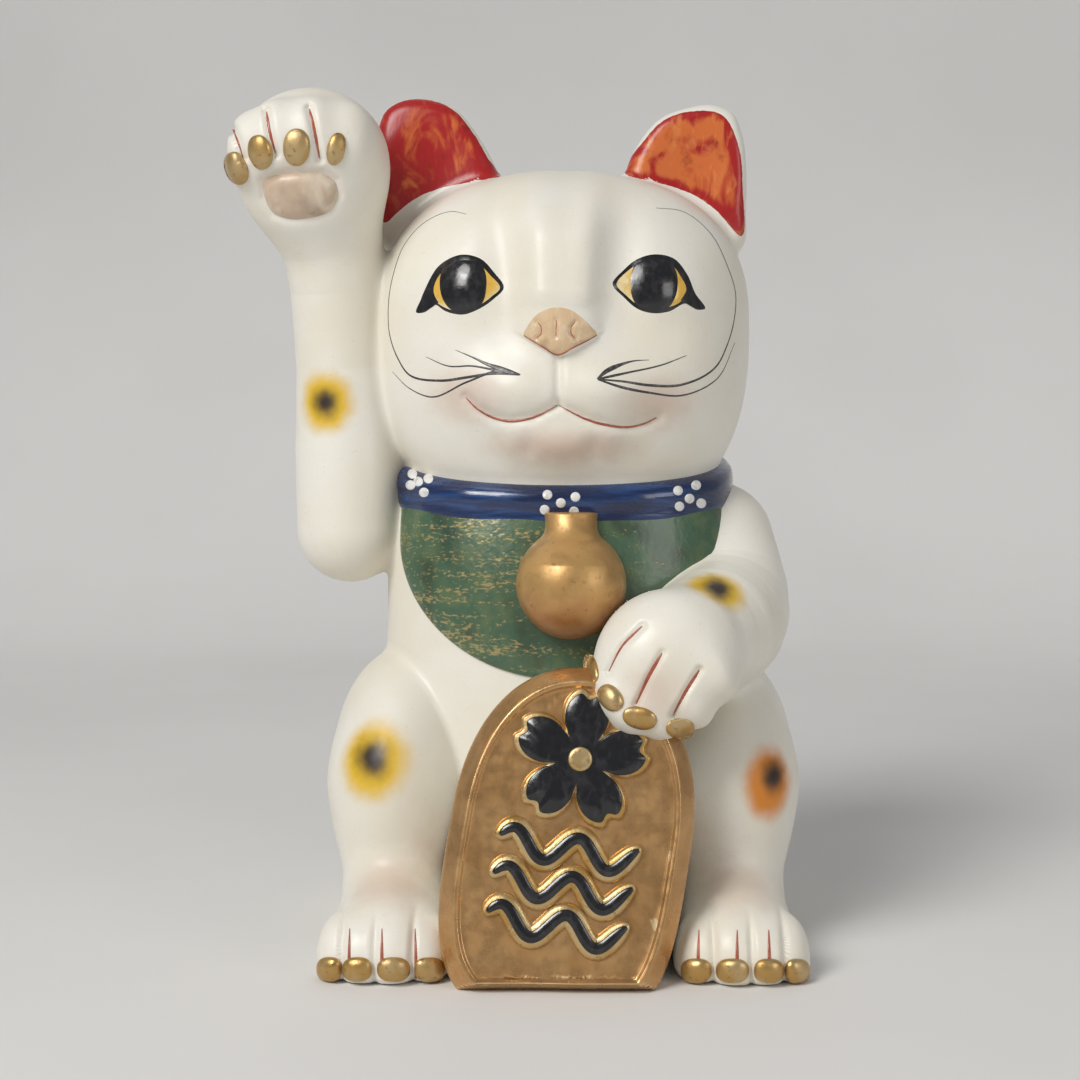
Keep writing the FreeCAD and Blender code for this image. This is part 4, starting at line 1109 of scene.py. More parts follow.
# ---------------------------------------------------------------- nails and pad
# each nail's middle across and up from the paw's, half its width and height, and its turn in degrees
RAISED_NAILS = ((-27.0, -1.2, 3.9, 6.2, 20), (-18.4, 4.6, 4.3, 6.4, 14), (-5.2, 6.4, 4.9, 6.8, -2),
                (9.2, 5.7, 3.3, 6.0, -12))
LOWERED_NAILS = ((-26.2, -0.6, 2.3, 5.2, 14), (-19.2, -11.4, 4.0, 5.4, 40), (-8.6, -18.8, 6.4, 4.0, -14),
                 (6.2, -22.6, 5.2, 3.6, 0))


def build_nails():
    """Low domes on the ends of the toes."""
    rise = settings()[0].nail_rise * 1000
    gold = nail_gold()
    for paw, mark, nails, height in (("raised", "-", RAISED_NAILS, rise),
                                     ("lowered", "+", LOWERED_NAILS, rise * 0.8)):
        near = whole("arm" + mark, "paw" + mark)
        shells = []
        for x, z, wide, tall, turn in nails:
            outline = oval(plan(paw + "_paw", (x, z)), wide, tall, turn, corner=2.2)
            shells.append(laid(near, outline, height, dome=True))
        make(paw + "_nails_gold", shells, gold, (paw + "_nails",))
    for side, name in SIDES.items():
        near = whole("haunch" + MARKS[side], "foot" + MARKS[side])
        shells = []
        for out, wide in zip(TOE_OUT, (4.2, 5.0, 5.6, 5.2)):
            x, z = drawn(at("hind_foot_" + name, 0.5, 0, 0) + (side * out, 3, 5.6))
            shells.append(laid(near, oval((x, z), wide * 1.05, 4.4, 0, corner=2.6), rise, dome=True))
        make("hind_nails_gold_" + name, shells, gold, ("hind_nails_" + name,))


def build_pad():
    """A low dome on the palm of the raised paw."""
    near = whole("torso", "arm-", "paw-")
    outline = loop(PAD_OUTLINE, 64)
    part = laid(near, outline, settings()[0].pad_rise * 1000, dome=True)
    make("pad_blush_dome", [part], enamel("pad_glaze"), ("raised_paw_pad",))


# ---------------------------------------------------------------- the face's painting
EYES = {     # the black ground with its tail, the yellow, the pupil's middle and its reach
    -1: (((-53.3, 7.2), (-51.8, 11.8), (-50, 16.1), (-44.6, 24.7), (-36.3, 28.3), (-30, 26.8), (-25.1, 21.9),
          (-21.5, 16.1), (-25.1, 12.2), (-31, 8.3), (-36.3, 6.5), (-42.4, 7.6), (-47.2, 10.2), (-50.2, 7.4)),
         ((-47.4, 14.6), (-46.4, 18.8), (-42.7, 23.4), (-36.3, 25.8), (-30.4, 24.6), (-26.2, 20.6),
          (-22.9, 16.1), (-26.0, 13.0), (-31.4, 9.4), (-36.3, 7.9), (-42.4, 8.8), (-46.0, 11.2)),
         (-36.2, 17.4), (8.8, 10.4)),
    1: (((18.0, 17.6), (22, 22.6), (26.5, 26.3), (33.4, 28.3), (40.2, 26.8), (45.1, 21), (48, 14.2),
         (51.4, 8.4), (48.8, 8.2), (44.8, 10.4), (38.6, 7.6), (33.4, 6.9), (27.5, 8.3), (22.1, 12.7)),
        ((19.5, 17.4), (23.2, 22.0), (27.4, 24.8), (33.4, 26.2), (39.6, 24.6), (42.9, 20.4), (45.0, 15.0),
         (42.8, 11.2), (38.2, 9.1), (33.4, 8.4), (28.0, 9.6), (23.0, 13.4)),
        (33.0, 17.6), (8.9, 10.4))}


def build_eyes():
    """The black ground, the yellow on it, and the pupil, a dome held between the edges of the yellow."""
    black = shared("black_gloss", enamel, "black_gloss")
    for side, name in SIDES.items():
        *flat, size = EYES[side]
        ground, yellow, middle = (NOSE + np.array(part) for part in flat)
        ground, yellow = loop(ground, 150), loop(yellow, 110)
        pupil = oval(middle, *size, count=96, corner=2.1)
        lower, upper = edges_at(yellow, pupil[:, 0])
        pupil[:, 1] = np.clip(pupil[:, 1], lower - 0.5, upper + 0.5)

        def raised(p):
            return head(p) - 0.16
        shells = [laid(head, ground, 0.22, rings=24, middle=middle, deep=0.5)]
        shells.append(laid(raised, pupil, 0.75, dome=True, rings=20))
        make("eye_black_" + name, shells, black, ("eye_" + name,))
        rim = laid(raised, yellow, 0.22, rings=24, middle=middle, deep=0.3)
        make("eye_yellow_" + name, [rim], iris_yellow(side))


def edges_at(outline, x):
    """The lower and upper edge of an outline at each x."""
    middle = outline[:, 1].mean()
    above, below = outline[outline[:, 1] > middle], outline[outline[:, 1] <= middle]
    above, below = above[np.argsort(above[:, 0])], below[np.argsort(below[:, 0])]
    return np.interp(x, below[:, 0], below[:, 1]), np.interp(x, above[:, 0], above[:, 1])


# outlines and lines on the drawing plane, about the middle of the nose
NOSE_SHAPE = ((-14.4, -0.9), (-12.9, 2.2), (-9.4, 6.6), (-5.6, 8.6), (-1.7, 9.1), (2.2, 8.4), (6.4, 5.8),
              (10.3, 2.0), (12.5, -0.8), (9.0, -2.8), (3.4, -5.6), (-1.9, -8.1), (-7.0, -5.4), (-11.6, -2.6))
WHISKERS = (
    ((-15.4, -15.4), (-21.2, -13.6), (-27.1, -11.7), (-32.9, -9), (-39.3, -6.3)),
    ((-15.4, -15.4), (-25.1, -13.6), (-32.9, -12.2), (-41.7, -12.2), (-50, -8.8)),
    ((-15.4, -15.4), (-27.1, -15.1), (-34.9, -16.3), (-44.6, -17.5), (-56.3, -15.1), (-60.2, -9.2),
     (-63.1, -0.5), (-63.6, 7.3), (-63.1, 14.2), (-61.2, 22.9), (-58.3, 30.7), (-49.5, 40.5),
     (-39.8, 43.9), (-34.9, 42.9)),
    ((-15.4, -15.4), (-23.2, -14.1), (-34.9, -18), (-48.5, -23.4), (-56.3, -20), (-62.2, -14.1)),
    ((12.4, -17), (15.8, -14.1), (19.7, -12.2), (25.6, -10.4), (31.4, -10)),
    ((12.4, -17), (23.6, -14.6), (36.3, -11.7), (45.1, -8.3)),
    ((12.4, -17), (21.7, -17.8), (31.4, -19.2), (43.1, -19), (55.8, -12.2), (59.7, -4.4), (62.1, 4.4),
     (62.6, 14.2), (59.7, 23.9), (52.9, 36.6), (43.1, 43.9), (33.4, 45.1)),
    ((12.4, -17), (21.7, -20), (31.4, -21.9), (43.1, -22.9), (55.8, -17), (62.6, -3.4)))


def build_nose_and_mouth():
    """A patch for the nose, and brush strokes for the lips, nostrils, toes and whiskers."""
    near = whole("head", "ear-", "ear+")
    outline = loop(NOSE + np.array(NOSE_SHAPE), 80)
    patch = laid(head, outline, 0.22, rings=20, deep=0.3)
    make("nose_tan", [patch], enamel("nose_paint"), ("nose",))
    paint = settings()[0].paint_height * 1000
    lip = []
    for line in MOUTH:
        lip.append(brushed(head, line, (0.1, 0.35, 0.5, 0.5, 0.4, 0.1), paint * 5, 64))
    for line in NOSTRILS:
        lip.append(brushed(head, line, (0.1, 0.28, 0.28, 0.1), paint * 4, 24))
    under_nose = NOSE + np.array(NOSE_SHAPE[8:] + NOSE_SHAPE[:1])
    lip.append(brushed(head, under_nose, (0.05, 0.22, 0.3, 0.22, 0.05), paint * 4, 60))
    for mark, lines, widths in (("-", RAISED_GROOVES, (0.45, 0.75, 0.9)),
                                ("+", LOWERED_GROOVES, (0.45, 0.8, 0.9))):
        toes = whole("torso", "arm" + mark, "paw" + mark)
        for line, wide in zip(lines, widths):
            lip.append(brushed(toes, line, (0.1, wide, wide, wide * 0.6, 0.1), paint * 3, 40))
    for side, name in SIDES.items():
        foot_skin = whole("torso", "haunch" + MARKS[side], "foot" + MARKS[side])
        for x in ((-15.3, -3.3, 9.1) if side < 0 else (-13.5, 0.7, 12.4)):
            line = plan("hind_foot_" + name, ((x, -23.0), (x, -13.0), (x * 0.98, -4.0)))
            lip.append(brushed(foot_skin, line, (0.5, 0.6, 0.45, 0.1), paint * 3, 30))
    make("lip_lines", lip, enamel("lip_paint"))
    hairs = []
    thick, thin = (0.3, 0.75, 0.9, 0.6, 0.35, 0.2, 0.08), (0.3, 0.5, 0.4, 0.32, 0.28, 0.2, 0.08)
    for number, line in enumerate(WHISKERS):
        wide = thin if number % 4 else thick
        hairs.append(brushed(near, NOSE + np.array(line), wide, paint, 20 * len(line)))
    make("whisker_lines", hairs, enamel("whisker_paint"))


# ---------------------------------------------------------------- bib, collar and bell
COLLAR_TILT = np.radians(11.0)
COLLAR_CORNER = 2.2                     # the power of the ring's superellipse
COLLAR_BAND = 9.2      # half of the band's height


def collar_swell(w, across, ahead):
    """How far the band swells across its height, which runs from -1 to 1: flat over the middle, rounded at
    its edges by the fifth power and a circle, and flared out below in front, where the chest slopes."""
    front = np.maximum(-ahead / np.hypot(across, ahead), 0)
    flat = 4.6 * (1 - abs(w) ** 5) + 0.9 * np.sqrt(np.maximum(1 - w * w, 0))
    return flat - 5.5 + 2.6 * np.maximum(-w, 0) * front**2


def neck_ring():
    """Middle, half width and half depth of the neck at the collar."""
    low, high = corners("collar")
    return (low + high) / 2 - (0, 0, 2.6), (high - low) / 2


def collar_surface(v, w, out):
    """A band round the neck, leaning forwards: v round it, w across it from -1 to 1, out above its skin."""
    middle, size = neck_ring()
    c, s = np.cos(v), np.sin(v)
    reach = (abs(c) ** COLLAR_CORNER + abs(s) ** COLLAR_CORNER) ** (-1 / COLLAR_CORNER)
    grow = collar_swell(w, c, s) + out
    x, y = reach * c * (size[0] + grow), reach * s * (size[1] + grow)
    y, z = tipped(y, COLLAR_BAND * w, -COLLAR_TILT)
    return np.stack([middle[0] + x, middle[1] + y, middle[2] + z], -1)


DOTS = ((-54.9, 0.4), (-49.1, -1.3), (-55.6, -3.7), (-52.8, -2.4), (-50.7, -6.4),   # three flowers of five
        (-5.7, -7.2), (4.5, -8), (-6.7, -12.7), (-0.8, -10.2), (4, -13.3),
        (41.8, -5.7), (48.4, -3.7), (42.3, -11.4), (46, -8.6), (50.3, -10.3))


def build_collar():
    """The band is a ring of ovals; its dots are domes on it."""
    v = np.linspace(0, 2 * np.pi, 241)[:-1]
    around = np.linspace(0, 2 * np.pi, 41)[:-1]
    wave = 0.35 * np.sin(5 * v + 0.6) + 0.25 * np.sin(11 * v)
    front = collar_surface(v[:, None], np.cos(around)[None, :] * 0.999, 0.25 * wave[:, None])
    back = collar_surface(v[:, None], np.cos(around)[None, :] * 0.999, -7.0 + 0 * wave[:, None])
    rows = np.where(np.sin(around)[None, :, None] >= 0, front, back)
    points = rows.reshape(-1, 3)
    count, ring = rows.shape[:2]
    number = np.arange(count * ring).reshape(count, ring)
    nxt, turned = np.roll(number, -1, 0), np.roll(number, -1, 1)
    quads = np.stack([number, turned, np.roll(turned, -1, 0), nxt], -1).reshape(-1, 4)
    a, b, c, d = (points[quads[:, k]] for k in range(4))
    if (np.cross(a, b) * c).sum() + (np.cross(a, c) * d).sum() < 0:
        quads = quads[:, ::-1]
    band = (points, quads, np.zeros((0, 3), int), None)
    make("collar_band", [band], collar_blue(), ("collar",))

    radius = settings()[0].dot_radius * 1000
    middle, size = neck_ring()

    def skin(p):
        q = p - middle
        y, z = tipped(q[..., 1], q[..., 2], COLLAR_TILT)
        w = np.clip(z / COLLAR_BAND, -1, 1)
        grow = collar_swell(w, q[..., 0] / size[0], y / size[1])
        a, b = abs(q[..., 0] / (size[0] + grow)), abs(y / (size[1] + grow))
        n = (a ** COLLAR_CORNER + b ** COLLAR_CORNER) ** (1 / COLLAR_CORNER)
        r = np.hypot(q[..., 0], y)
        return r - r / np.maximum(n, 1e-3)
    dots = []
    for x, z in DOTS:
        outline = oval(plan("collar", (x, z)), radius, radius, 0, count=20)
        dots.append(laid(skin, outline, 0.4, dome=True, rings=5))
    make("collar_dots", dots, enamel("dot_white"))


def build_bib():
    """A sheet laid on the chest below the collar: its outline is a deep U, its edge is rounded."""
    near = whole("torso")
    low, high = corners("bib")
    straight, top, wide = high[2] - 24, high[2] - 4, (high[0] - low[0]) / 2
    turn = np.linspace(np.pi, 2 * np.pi, 121)
    arc = np.stack([wide * np.cos(turn), 0 * turn, straight + (straight - low[2]) * np.sin(turn)], -1)
    up = np.linspace(straight, top, 12)[1:]
    right = np.stack([np.full(11, wide), 0 * up, up], -1)
    over = np.linspace(wide, -wide, 61)[1:-1]
    across = np.stack([over, 0 * over, np.full(59, top)], -1)
    outline = np.concatenate([arc, right, across, right[::-1] * (-1, 1, 1)])
    heart = np.array((0, 0, straight - 4))
    rings = 46
    r = np.sin(np.linspace(0, np.pi / 2, rings + 1))
    flat = heart + r[:, None, None] * (outline - heart)
    chest = square_on(near, flat)
    out = slope(near, chest)
    thick = settings()[0].bib_thickness * 1000 * np.sqrt(np.maximum(1 - r**24, 0))
    rows = np.concatenate([chest + out * (thick[:, None, None] + 0.12), (chest - out * 1.4)[::-1]])
    make("bib_sheet", [shell(rows)], bib_green(), ("bib",))


def square_on(field, points):
    """Where lines along Y through points meet a skin from in front."""
    p = points.copy()
    p[..., 1] = -130.0
    for _ in range(60):
        p[..., 1] += np.clip(field(p) * 0.8, -3, 12)
    return p


BELL_NECK, BELL_TALL = 9.0, 45.5


def build_bell():
    """A ball that runs into a neck: a circle and a cubic turned about an upright line, the neck leaning
    back."""
    low, high = corners("bell")
    wide = (high[0] - low[0]) / 2
    x, y, z = (low[0] + high[0]) / 2, low[1] + wide + 0.2, low[2] + wide
    neck, top = BELL_NECK, low[2] + BELL_TALL
    t = np.linspace(-np.pi / 2, np.pi / 2 - np.arcsin(neck / wide) * 1.35, 110)
    ball = np.stack([wide * np.cos(t), z + wide * np.sin(t)], -1)
    s = np.linspace(0, 1, 30)[1:, None]
    start, slant = ball[-1], np.array((-np.sin(t[-1]), np.cos(t[-1]))) * 12
    end, pull = np.array((neck + 0.8, top)), np.array((0.6, 9))
    stem = ((2 * s**3 - 3 * s**2 + 1) * start + (s**3 - 2 * s**2 + s) * slant
            + (3 * s**2 - 2 * s**3) * end + (s**3 - s**2) * pull)
    profile = np.concatenate([ball, stem, [(neck * 0.8, top + 0.3), (0.01, top + 0.4)]])
    v = np.linspace(0, 2 * np.pi, 121)[:-1]
    lean = 0.5 * np.maximum(profile[:, 1:] - z - 8, 0)
    rows = np.stack([x + profile[:, :1] * np.cos(v), y + lean + profile[:, :1] * np.sin(v),
                     np.broadcast_to(profile[:, 1:], (len(profile), 120))], -1)
    make("bell_ball", [shell(rows)], bell_gold(), ("bell",))


# ---------------------------------------------------------------- the plaque
PLAQUE_LEAN, PLAQUE_TURN = np.radians(11.0), np.radians(9.5)
PLAQUE_HALF, PLAQUE_RISE, PLAQUE_FALL, PLAQUE_MID = 42.0, 56.0, 66.0, 55.0


def placed_on_slope(points):
    """From the plaque's own upright frame to its place: turned about its middle, leaned back and moved."""
    foot = corners("coin_plaque")[0][1]
    x, y, z = points[..., 0], points[..., 1], points[..., 2] - PLAQUE_MID
    x, z = tipped(x, z, PLAQUE_TURN)
    y, z = tipped(y, z + PLAQUE_MID, PLAQUE_LEAN)
    return np.stack([x + 3, y + foot, z], -1)


def plaque_edge(v, inset):
    """The plaque's outline: a superellipse, squarer below, drawn in by an inset."""
    c, s = np.cos(v), np.sin(v)
    corner = np.where(s >= 0, 2.2, 3.5)
    reach = (abs(c) ** corner + abs(s) ** corner) ** (-1 / corner)
    tall = np.where(s >= 0, PLAQUE_RISE, PLAQUE_FALL)
    return reach * c * (PLAQUE_HALF - inset), PLAQUE_MID + reach * s * (tall - inset)


PLAQUE_STEPS = (        # from the middle of the face outwards: how far in from the outline, how far back
    (38.0, 1.25), (30.0, 1.25), (20.0, 1.25), (12.0, 1.25), (8.6, 1.22), (7.6, 1.05), (7.1, 0.6), (6.7, 0.18),
    (6.0, 0.0), (5.4, 0.08), (4.8, 0.5), (3.6, 1.9), (2.2, 3.6), (1.0, 5.1), (0.35, 6.1), (0.05, 7.2),
    (0.0, 9.0), (0.0, 20.0), (0.0, 36.0), (0.4, 52.0))


def build_plaque():
    """Rings of the outline: up the recessed face to a rounded rim, over the bevel, and back to the belly."""
    v = np.linspace(0, 2 * np.pi, 361)[:-1]
    rows = []
    for inset, back in PLAQUE_STEPS:
        x, z = plaque_edge(v, inset)
        hand = 0.25 * np.sin(3 * v + inset * 0.2) + 0.18 * np.sin(7 * v + 1.0)
        rows.append(np.stack([x, back + hand * (inset < 9), z], -1))
    rows = np.array(rows)
    finer = []
    for k in range(len(rows) - 1):
        for t in np.linspace(0, 1, 5)[:-1]:
            finer.append(rows[k] * (1 - t) + rows[k + 1] * t)
    poles = [np.full_like(rows[0], (0, step[1], PLAQUE_MID)) for step in (PLAQUE_STEPS[0], PLAQUE_STEPS[-1])]
    rows = placed_on_slope(np.concatenate([poles[:1], finer, poles[1:]]))
    inset = np.repeat([step[0] for step in PLAQUE_STEPS], 4)[:len(finer)]
    inset = np.concatenate([inset[:1], inset, inset[-1:]])
    lowest = np.minimum(inset * 0.62, 5.2)[:, None]
    lift = np.maximum(lowest - rows[..., 2], 0)
    rows[..., 1] += lift * np.tan(PLAQUE_LEAN)
    rows[..., 2] += lift
    make("plaque_coin", [shell(rows)], plaque_bronze(), ("coin_plaque",))


def relief(outline, rise, inset):
    """A raised shape on the plaque's face: steep sides that end in a rounded edge and a flat top."""
    middle = outline.mean(0)
    rim = np.gradient(outline, axis=0)
    inward = unit(np.stack([-rim[:, 1], rim[:, 0]], -1))
    if ((outline - middle) * inward).sum() > 0:
        inward = -inward
    rows = []
    for share, height in ((0.0, 0.0), (0.0, 0.0), (0.35, 0.62), (0.7, 0.92), (1.0, 1.0)):
        level = np.full((len(outline), 1), rise * height)
        rows.append(np.concatenate([outline + inward * inset * share, level], 1))
    rows[0][:, 2] = -1.0
    top = rows[-1]
    centre = np.append(middle, rise)
    inner = [top * (1 - t) + centre * t for t in (0.35, 0.7)]
    under = np.append(middle, -1.0)
    rows = [np.broadcast_to(under, top.shape)] + rows + inner + [np.broadcast_to(centre, top.shape)]
    flat = np.array(rows)
    return shell(placed_on_slope(np.stack([flat[..., 0], 1.25 - flat[..., 2], flat[..., 1]], -1)))


def band_relief(line, wide, rise, count=160):
    """A raised band with rounded ends along a smooth line on the plaque's face."""
    path = along(line, count)
    forward = unit(np.gradient(path, axis=0))
    side = np.stack([-forward[:, 1], forward[:, 0]], -1)
    t = np.linspace(0, 1, count)
    width = wide * np.sqrt(np.clip(1 - (2 * t - 1) ** 8, 0, 1))
    section = np.array(((-1, -1), (-1, 0), (-0.86, 0.62), (-0.6, 1), (0.6, 1), (0.86, 0.62), (1, 0), (1, -1)))
    height = np.where(section[:, 1] < 0, -1.0, rise * section[:, 1])
    flat = path[:, None] + side[:, None] * (section[:, 0] * width[:, None])[..., None]
    rows = np.concatenate([flat, np.broadcast_to(height[:, None], flat.shape[:2] + (1,))], -1)
    return shell(placed_on_slope(np.stack([rows[..., 0], 1.25 - rows[..., 2], rows[..., 1]], -1)))


BLOSSOM_AT, BLOSSOM_REACH = (-1.0, 79.0), 25.5
WAVE_AT, WAVE_SPAN = (0.0, 35.0), 25.0


def petals(shrink):
    """Five notched petals: over a turn, the outline's reach is 0.42 and 0.58 of a power of the cosine of 2.5
    turns, less a narrow bell at the middle of each petal."""
    v = np.linspace(0, 2 * np.pi, 301)[:-1]
    lobe = abs(np.cos(2.5 * v)) ** 0.55
    notch = 0.10 * np.exp(-((np.mod(v + np.pi / 5, 2 * np.pi / 5) - np.pi / 5) / 0.09) ** 2)
    reach = BLOSSOM_REACH * (0.42 + 0.58 * lobe - notch) - shrink
    turn = v + np.pi / 2
    return np.array(BLOSSOM_AT) + np.stack([reach * np.cos(turn), reach * np.sin(turn)], -1)


def wave_line(lift):
    """A wave about a level: a sine of the distance across."""
    x = np.linspace(-WAVE_SPAN, WAVE_SPAN, 60)
    return np.stack([WAVE_AT[0] + x, WAVE_AT[1] + lift + 4.6 * np.sin(x * 0.28 + 0.7)], -1)


def build_ornament():
    """The blossom and the waves, each a gold base with bevelled sides under a narrower black top."""
    rise = settings()[0].relief_height * 1000
    centre = oval(BLOSSOM_AT, 4.6, 4.6, 0, 60)
    gold = [relief(petals(0.0), rise * 0.8, 1.3), relief(centre, rise * 1.35, 0.8)]
    black = [relief(petals(1.9), rise, 0.7)]
    for lift in (-13.0, 0.0, 13.0):
        gold.append(band_relief(wave_line(lift), 4.3, rise * 0.8))
        black.append(band_relief(wave_line(lift)[1:-1], 2.7, rise))
    make("ornament_sides", gold, ornament_gold(), ("plaque_blossom",))
    gloss = shared("black_gloss", enamel, "black_gloss")
    make("ornament_tops", black, gloss, ("plaque_waves",))


# ---------------------------------------------------------------- stage
def lamp(name, place, aim, size, watts, tone):
    """A soft square lamp that faces a point."""
    light = bpy.data.lights.new(name, "AREA")
    light.shape, light.size, light.energy, light.color = "SQUARE", size, watts, tone
    obj = bpy.data.objects.new(name, light)
    bpy.context.scene.collection.objects.link(obj)
    obj.location = place
    way = mathutils.Vector(aim) - mathutils.Vector(place)
    obj.rotation_euler = way.to_track_quat("-Z", "Y").to_euler()


def build_stage():
    """A pale floor that curves up into a wall, soft light, and a camera in front of the cat."""
    along_x = np.linspace(-2.6, 2.6, 14)
    bend = np.linspace(0, np.pi / 2, 20)
    sweep = np.stack([0.75 + 0.5 * np.sin(bend), 0.5 - 0.5 * np.cos(bend)], -1)
    profile = np.concatenate([[(-2.2, 0), (-0.5, 0)], sweep, [(1.25, 2.6)]])
    rows, cols = len(profile), len(along_x)
    points = np.stack([np.broadcast_to(along_x, (rows, cols)), np.broadcast_to(profile[:, :1], (rows, cols)),
                       np.broadcast_to(profile[:, 1:], (rows, cols))], -1).reshape(-1, 3)
    number = np.arange(rows * cols).reshape(rows, cols)
    quads = np.stack([number[:-1, :-1], number[:-1, 1:], number[1:, 1:], number[1:, :-1]], -1).reshape(-1, 4)
    floor_mesh = bpy.data.meshes.new("floor")
    floor_mesh.from_pydata(points.tolist(), [], quads.tolist())
    floor_mesh.shade_smooth()
    floor = bpy.data.objects.new("floor", floor_mesh)
    bpy.context.scene.collection.objects.link(floor)
    f = Finish("floor_paper", Roughness=0.85, Specular_IOR_Level=0.15)
    grain = f.ramp(f.noise(3.0, 3), 0.3, 0.7)
    f.link("Base Color", f.mix(grain, (0.74, 0.73, 0.715), (0.78, 0.77, 0.755)))
    floor_mesh.materials.append(f.material)

    world = bpy.data.worlds.new("soft_room")
    bpy.context.scene.world = world
    world.use_nodes = True
    tree = world.node_tree
    back = tree.nodes["Background"]
    back.inputs["Color"].default_value = (0.86, 0.88, 0.92, 1)
    back.inputs["Strength"].default_value = 0.30
    sun = bpy.data.lights.new("sky_light", "SUN")
    sun.energy, sun.angle, sun.color = 1.16, np.radians(25), (1.0, 0.985, 0.96)
    sky = bpy.data.objects.new("sky_light", sun)
    bpy.context.scene.collection.objects.link(sky)
    sky.rotation_euler = (np.radians(48), 0, np.radians(-38))
    lamp("window_light", (-0.62, -0.80, 0.72), (0, -0.03, 0.16), 0.42, 4.6, (1.0, 0.985, 0.955))
    lamp("fill_light", (0.85, -0.75, 0.40), (0, 0, 0.12), 0.45, 1.9, (1.0, 0.975, 0.94))

    camera = bpy.data.cameras.new("camera")
    camera.sensor_width = 36.0
    camera.lens = 60.0
    obj = bpy.data.objects.new("camera", camera)
    bpy.context.scene.collection.objects.link(obj)
    obj.location = tuple(VIEW * 0.001)
    obj.rotation_euler = (np.radians(90 - 1.0), 0, np.radians(0.73))
    camera.shift_y = -0.073
    camera.clip_start, camera.clip_end = 0.01, 50.0
    bpy.context.scene.camera = obj
    bpy.context.scene.view_settings.view_transform = "Standard"


# ---------------------------------------------------------------- the add-on
def finished(build):
    """Runs a builder, and raises if nothing came of it."""
    before = len(bpy.data.objects)
    build()
    if len(bpy.data.objects) == before:
        raise RuntimeError(build.__name__ + " made nothing")
    return {"FINISHED"}


class CAT_OT_torso(bpy.types.Operator):
    """Build the glazed body"""
    bl_idname = "cat.torso"
    bl_label = "Body"
    bl_options = {"REGISTER", "UNDO"}

    def execute(self, context):
        return finished(build_torso)


class CAT_OT_head(bpy.types.Operator):
    """Build the glazed head with its face"""
    bl_idname = "cat.head"
    bl_label = "Head"
    bl_options = {"REGISTER", "UNDO"}

    def execute(self, context):
        return finished(build_head)


class CAT_OT_ears(bpy.types.Operator):
    """Build the ears with their red enamel"""
    bl_idname = "cat.ears"
    bl_label = "Ears"
    bl_options = {"REGISTER", "UNDO"}

    def execute(self, context):
        return finished(build_ears)


class CAT_OT_forelegs(bpy.types.Operator):
    """Build both forelegs and their paws"""
    bl_idname = "cat.forelegs"
    bl_label = "Forelegs"
    bl_options = {"REGISTER", "UNDO"}

    def execute(self, context):
        return finished(build_forelegs)


class CAT_OT_hind_legs(bpy.types.Operator):
    """Build the haunches and the hind feet"""
    bl_idname = "cat.hind_legs"
    bl_label = "Hind legs"
    bl_options = {"REGISTER", "UNDO"}

    def execute(self, context):
        return finished(build_hind_legs)


class CAT_OT_tail(bpy.types.Operator):
    """Build the tail"""
    bl_idname = "cat.tail"
    bl_label = "Tail"
    bl_options = {"REGISTER", "UNDO"}

    def execute(self, context):
        return finished(build_tail)


class CAT_OT_nails(bpy.types.Operator):
    """Build the gold nails"""
    bl_idname = "cat.nails"
    bl_label = "Nails"
    bl_options = {"REGISTER", "UNDO"}

    def execute(self, context):
        return finished(build_nails)


class CAT_OT_pad(bpy.types.Operator):
    """Build the pad of the raised paw"""
    bl_idname = "cat.pad"
    bl_label = "Pad"
    bl_options = {"REGISTER", "UNDO"}

    def execute(self, context):
        return finished(build_pad)


class CAT_OT_eyes(bpy.types.Operator):
    """Build the eyes"""
    bl_idname = "cat.eyes"
    bl_label = "Eyes"
    bl_options = {"REGISTER", "UNDO"}

    def execute(self, context):
        return finished(build_eyes)


class CAT_OT_nose_and_mouth(bpy.types.Operator):
    """Paint the nose, mouth, toes and whiskers"""
    bl_idname = "cat.nose_and_mouth"
    bl_label = "Nose, mouth and whiskers"
    bl_options = {"REGISTER", "UNDO"}

    def execute(self, context):
        return finished(build_nose_and_mouth)


class CAT_OT_bib(bpy.types.Operator):
    """Build the bib"""
    bl_idname = "cat.bib"
    bl_label = "Bib"
    bl_options = {"REGISTER", "UNDO"}

    def execute(self, context):
        return finished(build_bib)


class CAT_OT_collar(bpy.types.Operator):
    """Build the collar and its dots"""
    bl_idname = "cat.collar"
    bl_label = "Collar"
    bl_options = {"REGISTER", "UNDO"}

    def execute(self, context):
        return finished(build_collar)


class CAT_OT_bell(bpy.types.Operator):
    """Build the bell"""
    bl_idname = "cat.bell"
    bl_label = "Bell"
    bl_options = {"REGISTER", "UNDO"}

    def execute(self, context):
        return finished(build_bell)


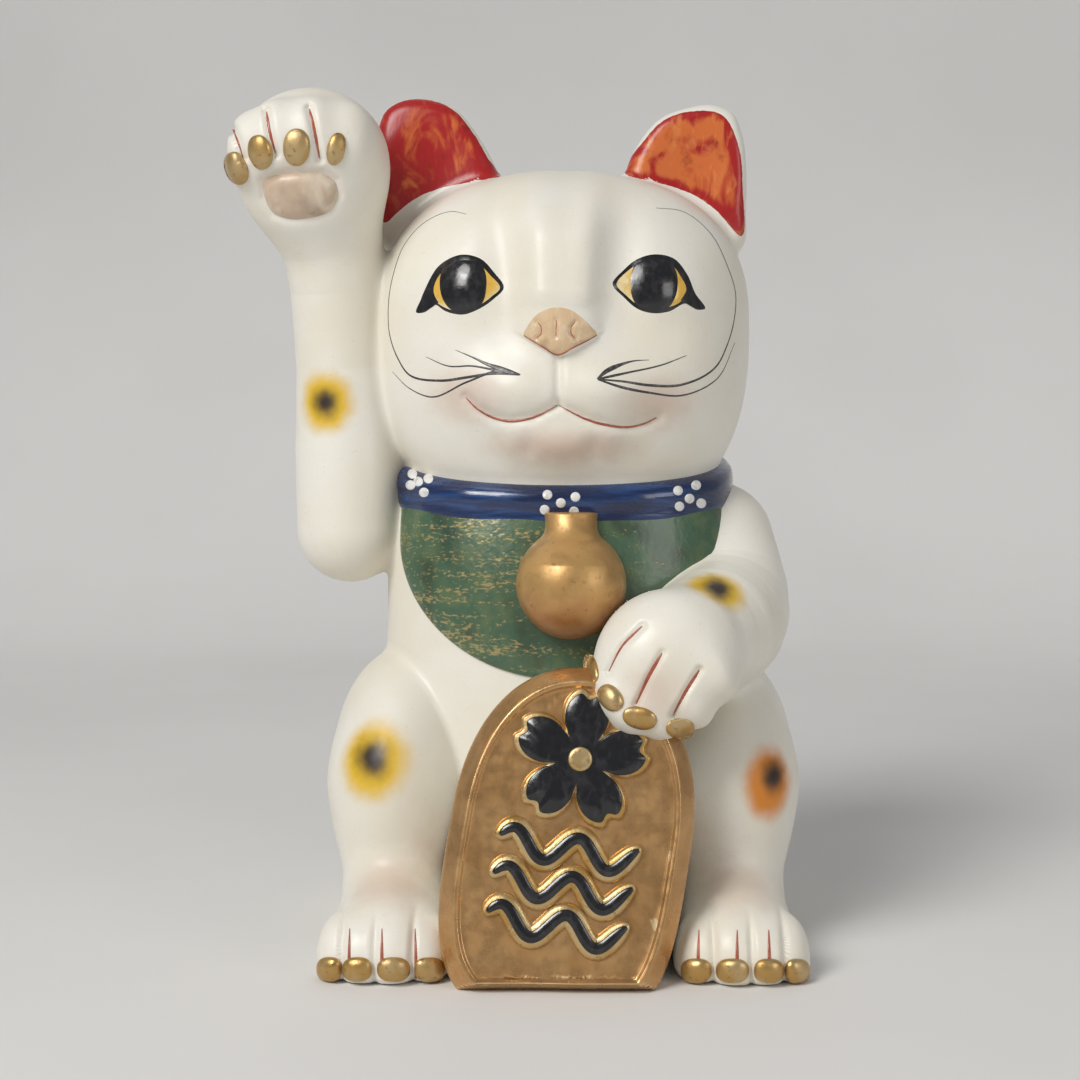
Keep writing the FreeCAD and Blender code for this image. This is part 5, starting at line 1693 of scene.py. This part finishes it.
class CAT_OT_plaque(bpy.types.Operator):
    """Build the coin plaque"""
    bl_idname = "cat.plaque"
    bl_label = "Plaque"
    bl_options = {"REGISTER", "UNDO"}

    def execute(self, context):
        return finished(build_plaque)


class CAT_OT_ornament(bpy.types.Operator):
    """Build the blossom and the waves"""
    bl_idname = "cat.ornament"
    bl_label = "Plaque ornament"
    bl_options = {"REGISTER", "UNDO"}

    def execute(self, context):
        return finished(build_ornament)


class CAT_OT_stage(bpy.types.Operator):
    """Build the floor, lights and camera"""
    bl_idname = "cat.stage"
    bl_label = "Stage"
    bl_options = {"REGISTER", "UNDO"}

    def execute(self, context):
        return finished(build_stage)


OPERATORS = [
    CAT_OT_torso, CAT_OT_head, CAT_OT_ears, CAT_OT_forelegs, CAT_OT_hind_legs, CAT_OT_tail, CAT_OT_nails,
    CAT_OT_pad, CAT_OT_eyes, CAT_OT_nose_and_mouth, CAT_OT_bib, CAT_OT_collar, CAT_OT_bell, CAT_OT_plaque,
    CAT_OT_ornament, CAT_OT_stage]


class CAT_PT_panel(bpy.types.Panel):
    """Lists the pieces of the cat."""
    bl_label = "Beckoning cat"
    bl_idname = "CAT_PT_panel"
    bl_space_type = "VIEW_3D"
    bl_region_type = "UI"
    bl_category = "Cat"

    def draw(self, context):
        for group in (context.scene.cat_sizes, context.scene.cat_colours):
            for name in group.__annotations__:
                self.layout.prop(group, name)
        for item in OPERATORS:
            self.layout.operator(item.bl_idname)


CLASSES = [CatSizes, CatColours, *OPERATORS, CAT_PT_panel]


def register():
    """Makes the settings, the operators and the panel known to Blender."""
    for item in CLASSES:
        bpy.utils.register_class(item)
    bpy.types.Scene.cat_sizes = bpy.props.PointerProperty(type=CatSizes)
    bpy.types.Scene.cat_colours = bpy.props.PointerProperty(type=CatColours)


def unregister():
    """Takes them away again."""
    del bpy.types.Scene.cat_sizes
    del bpy.types.Scene.cat_colours
    for item in reversed(CLASSES):
        bpy.utils.unregister_class(item)


def main():
    """Builds every piece in order."""
    register()
    for item in OPERATORS:
        name = item.bl_idname.split(".")[1]
        if getattr(bpy.ops.cat, name)() != {"FINISHED"}:
            raise RuntimeError(name + " did not finish")


if __name__ == "__main__":
    main()
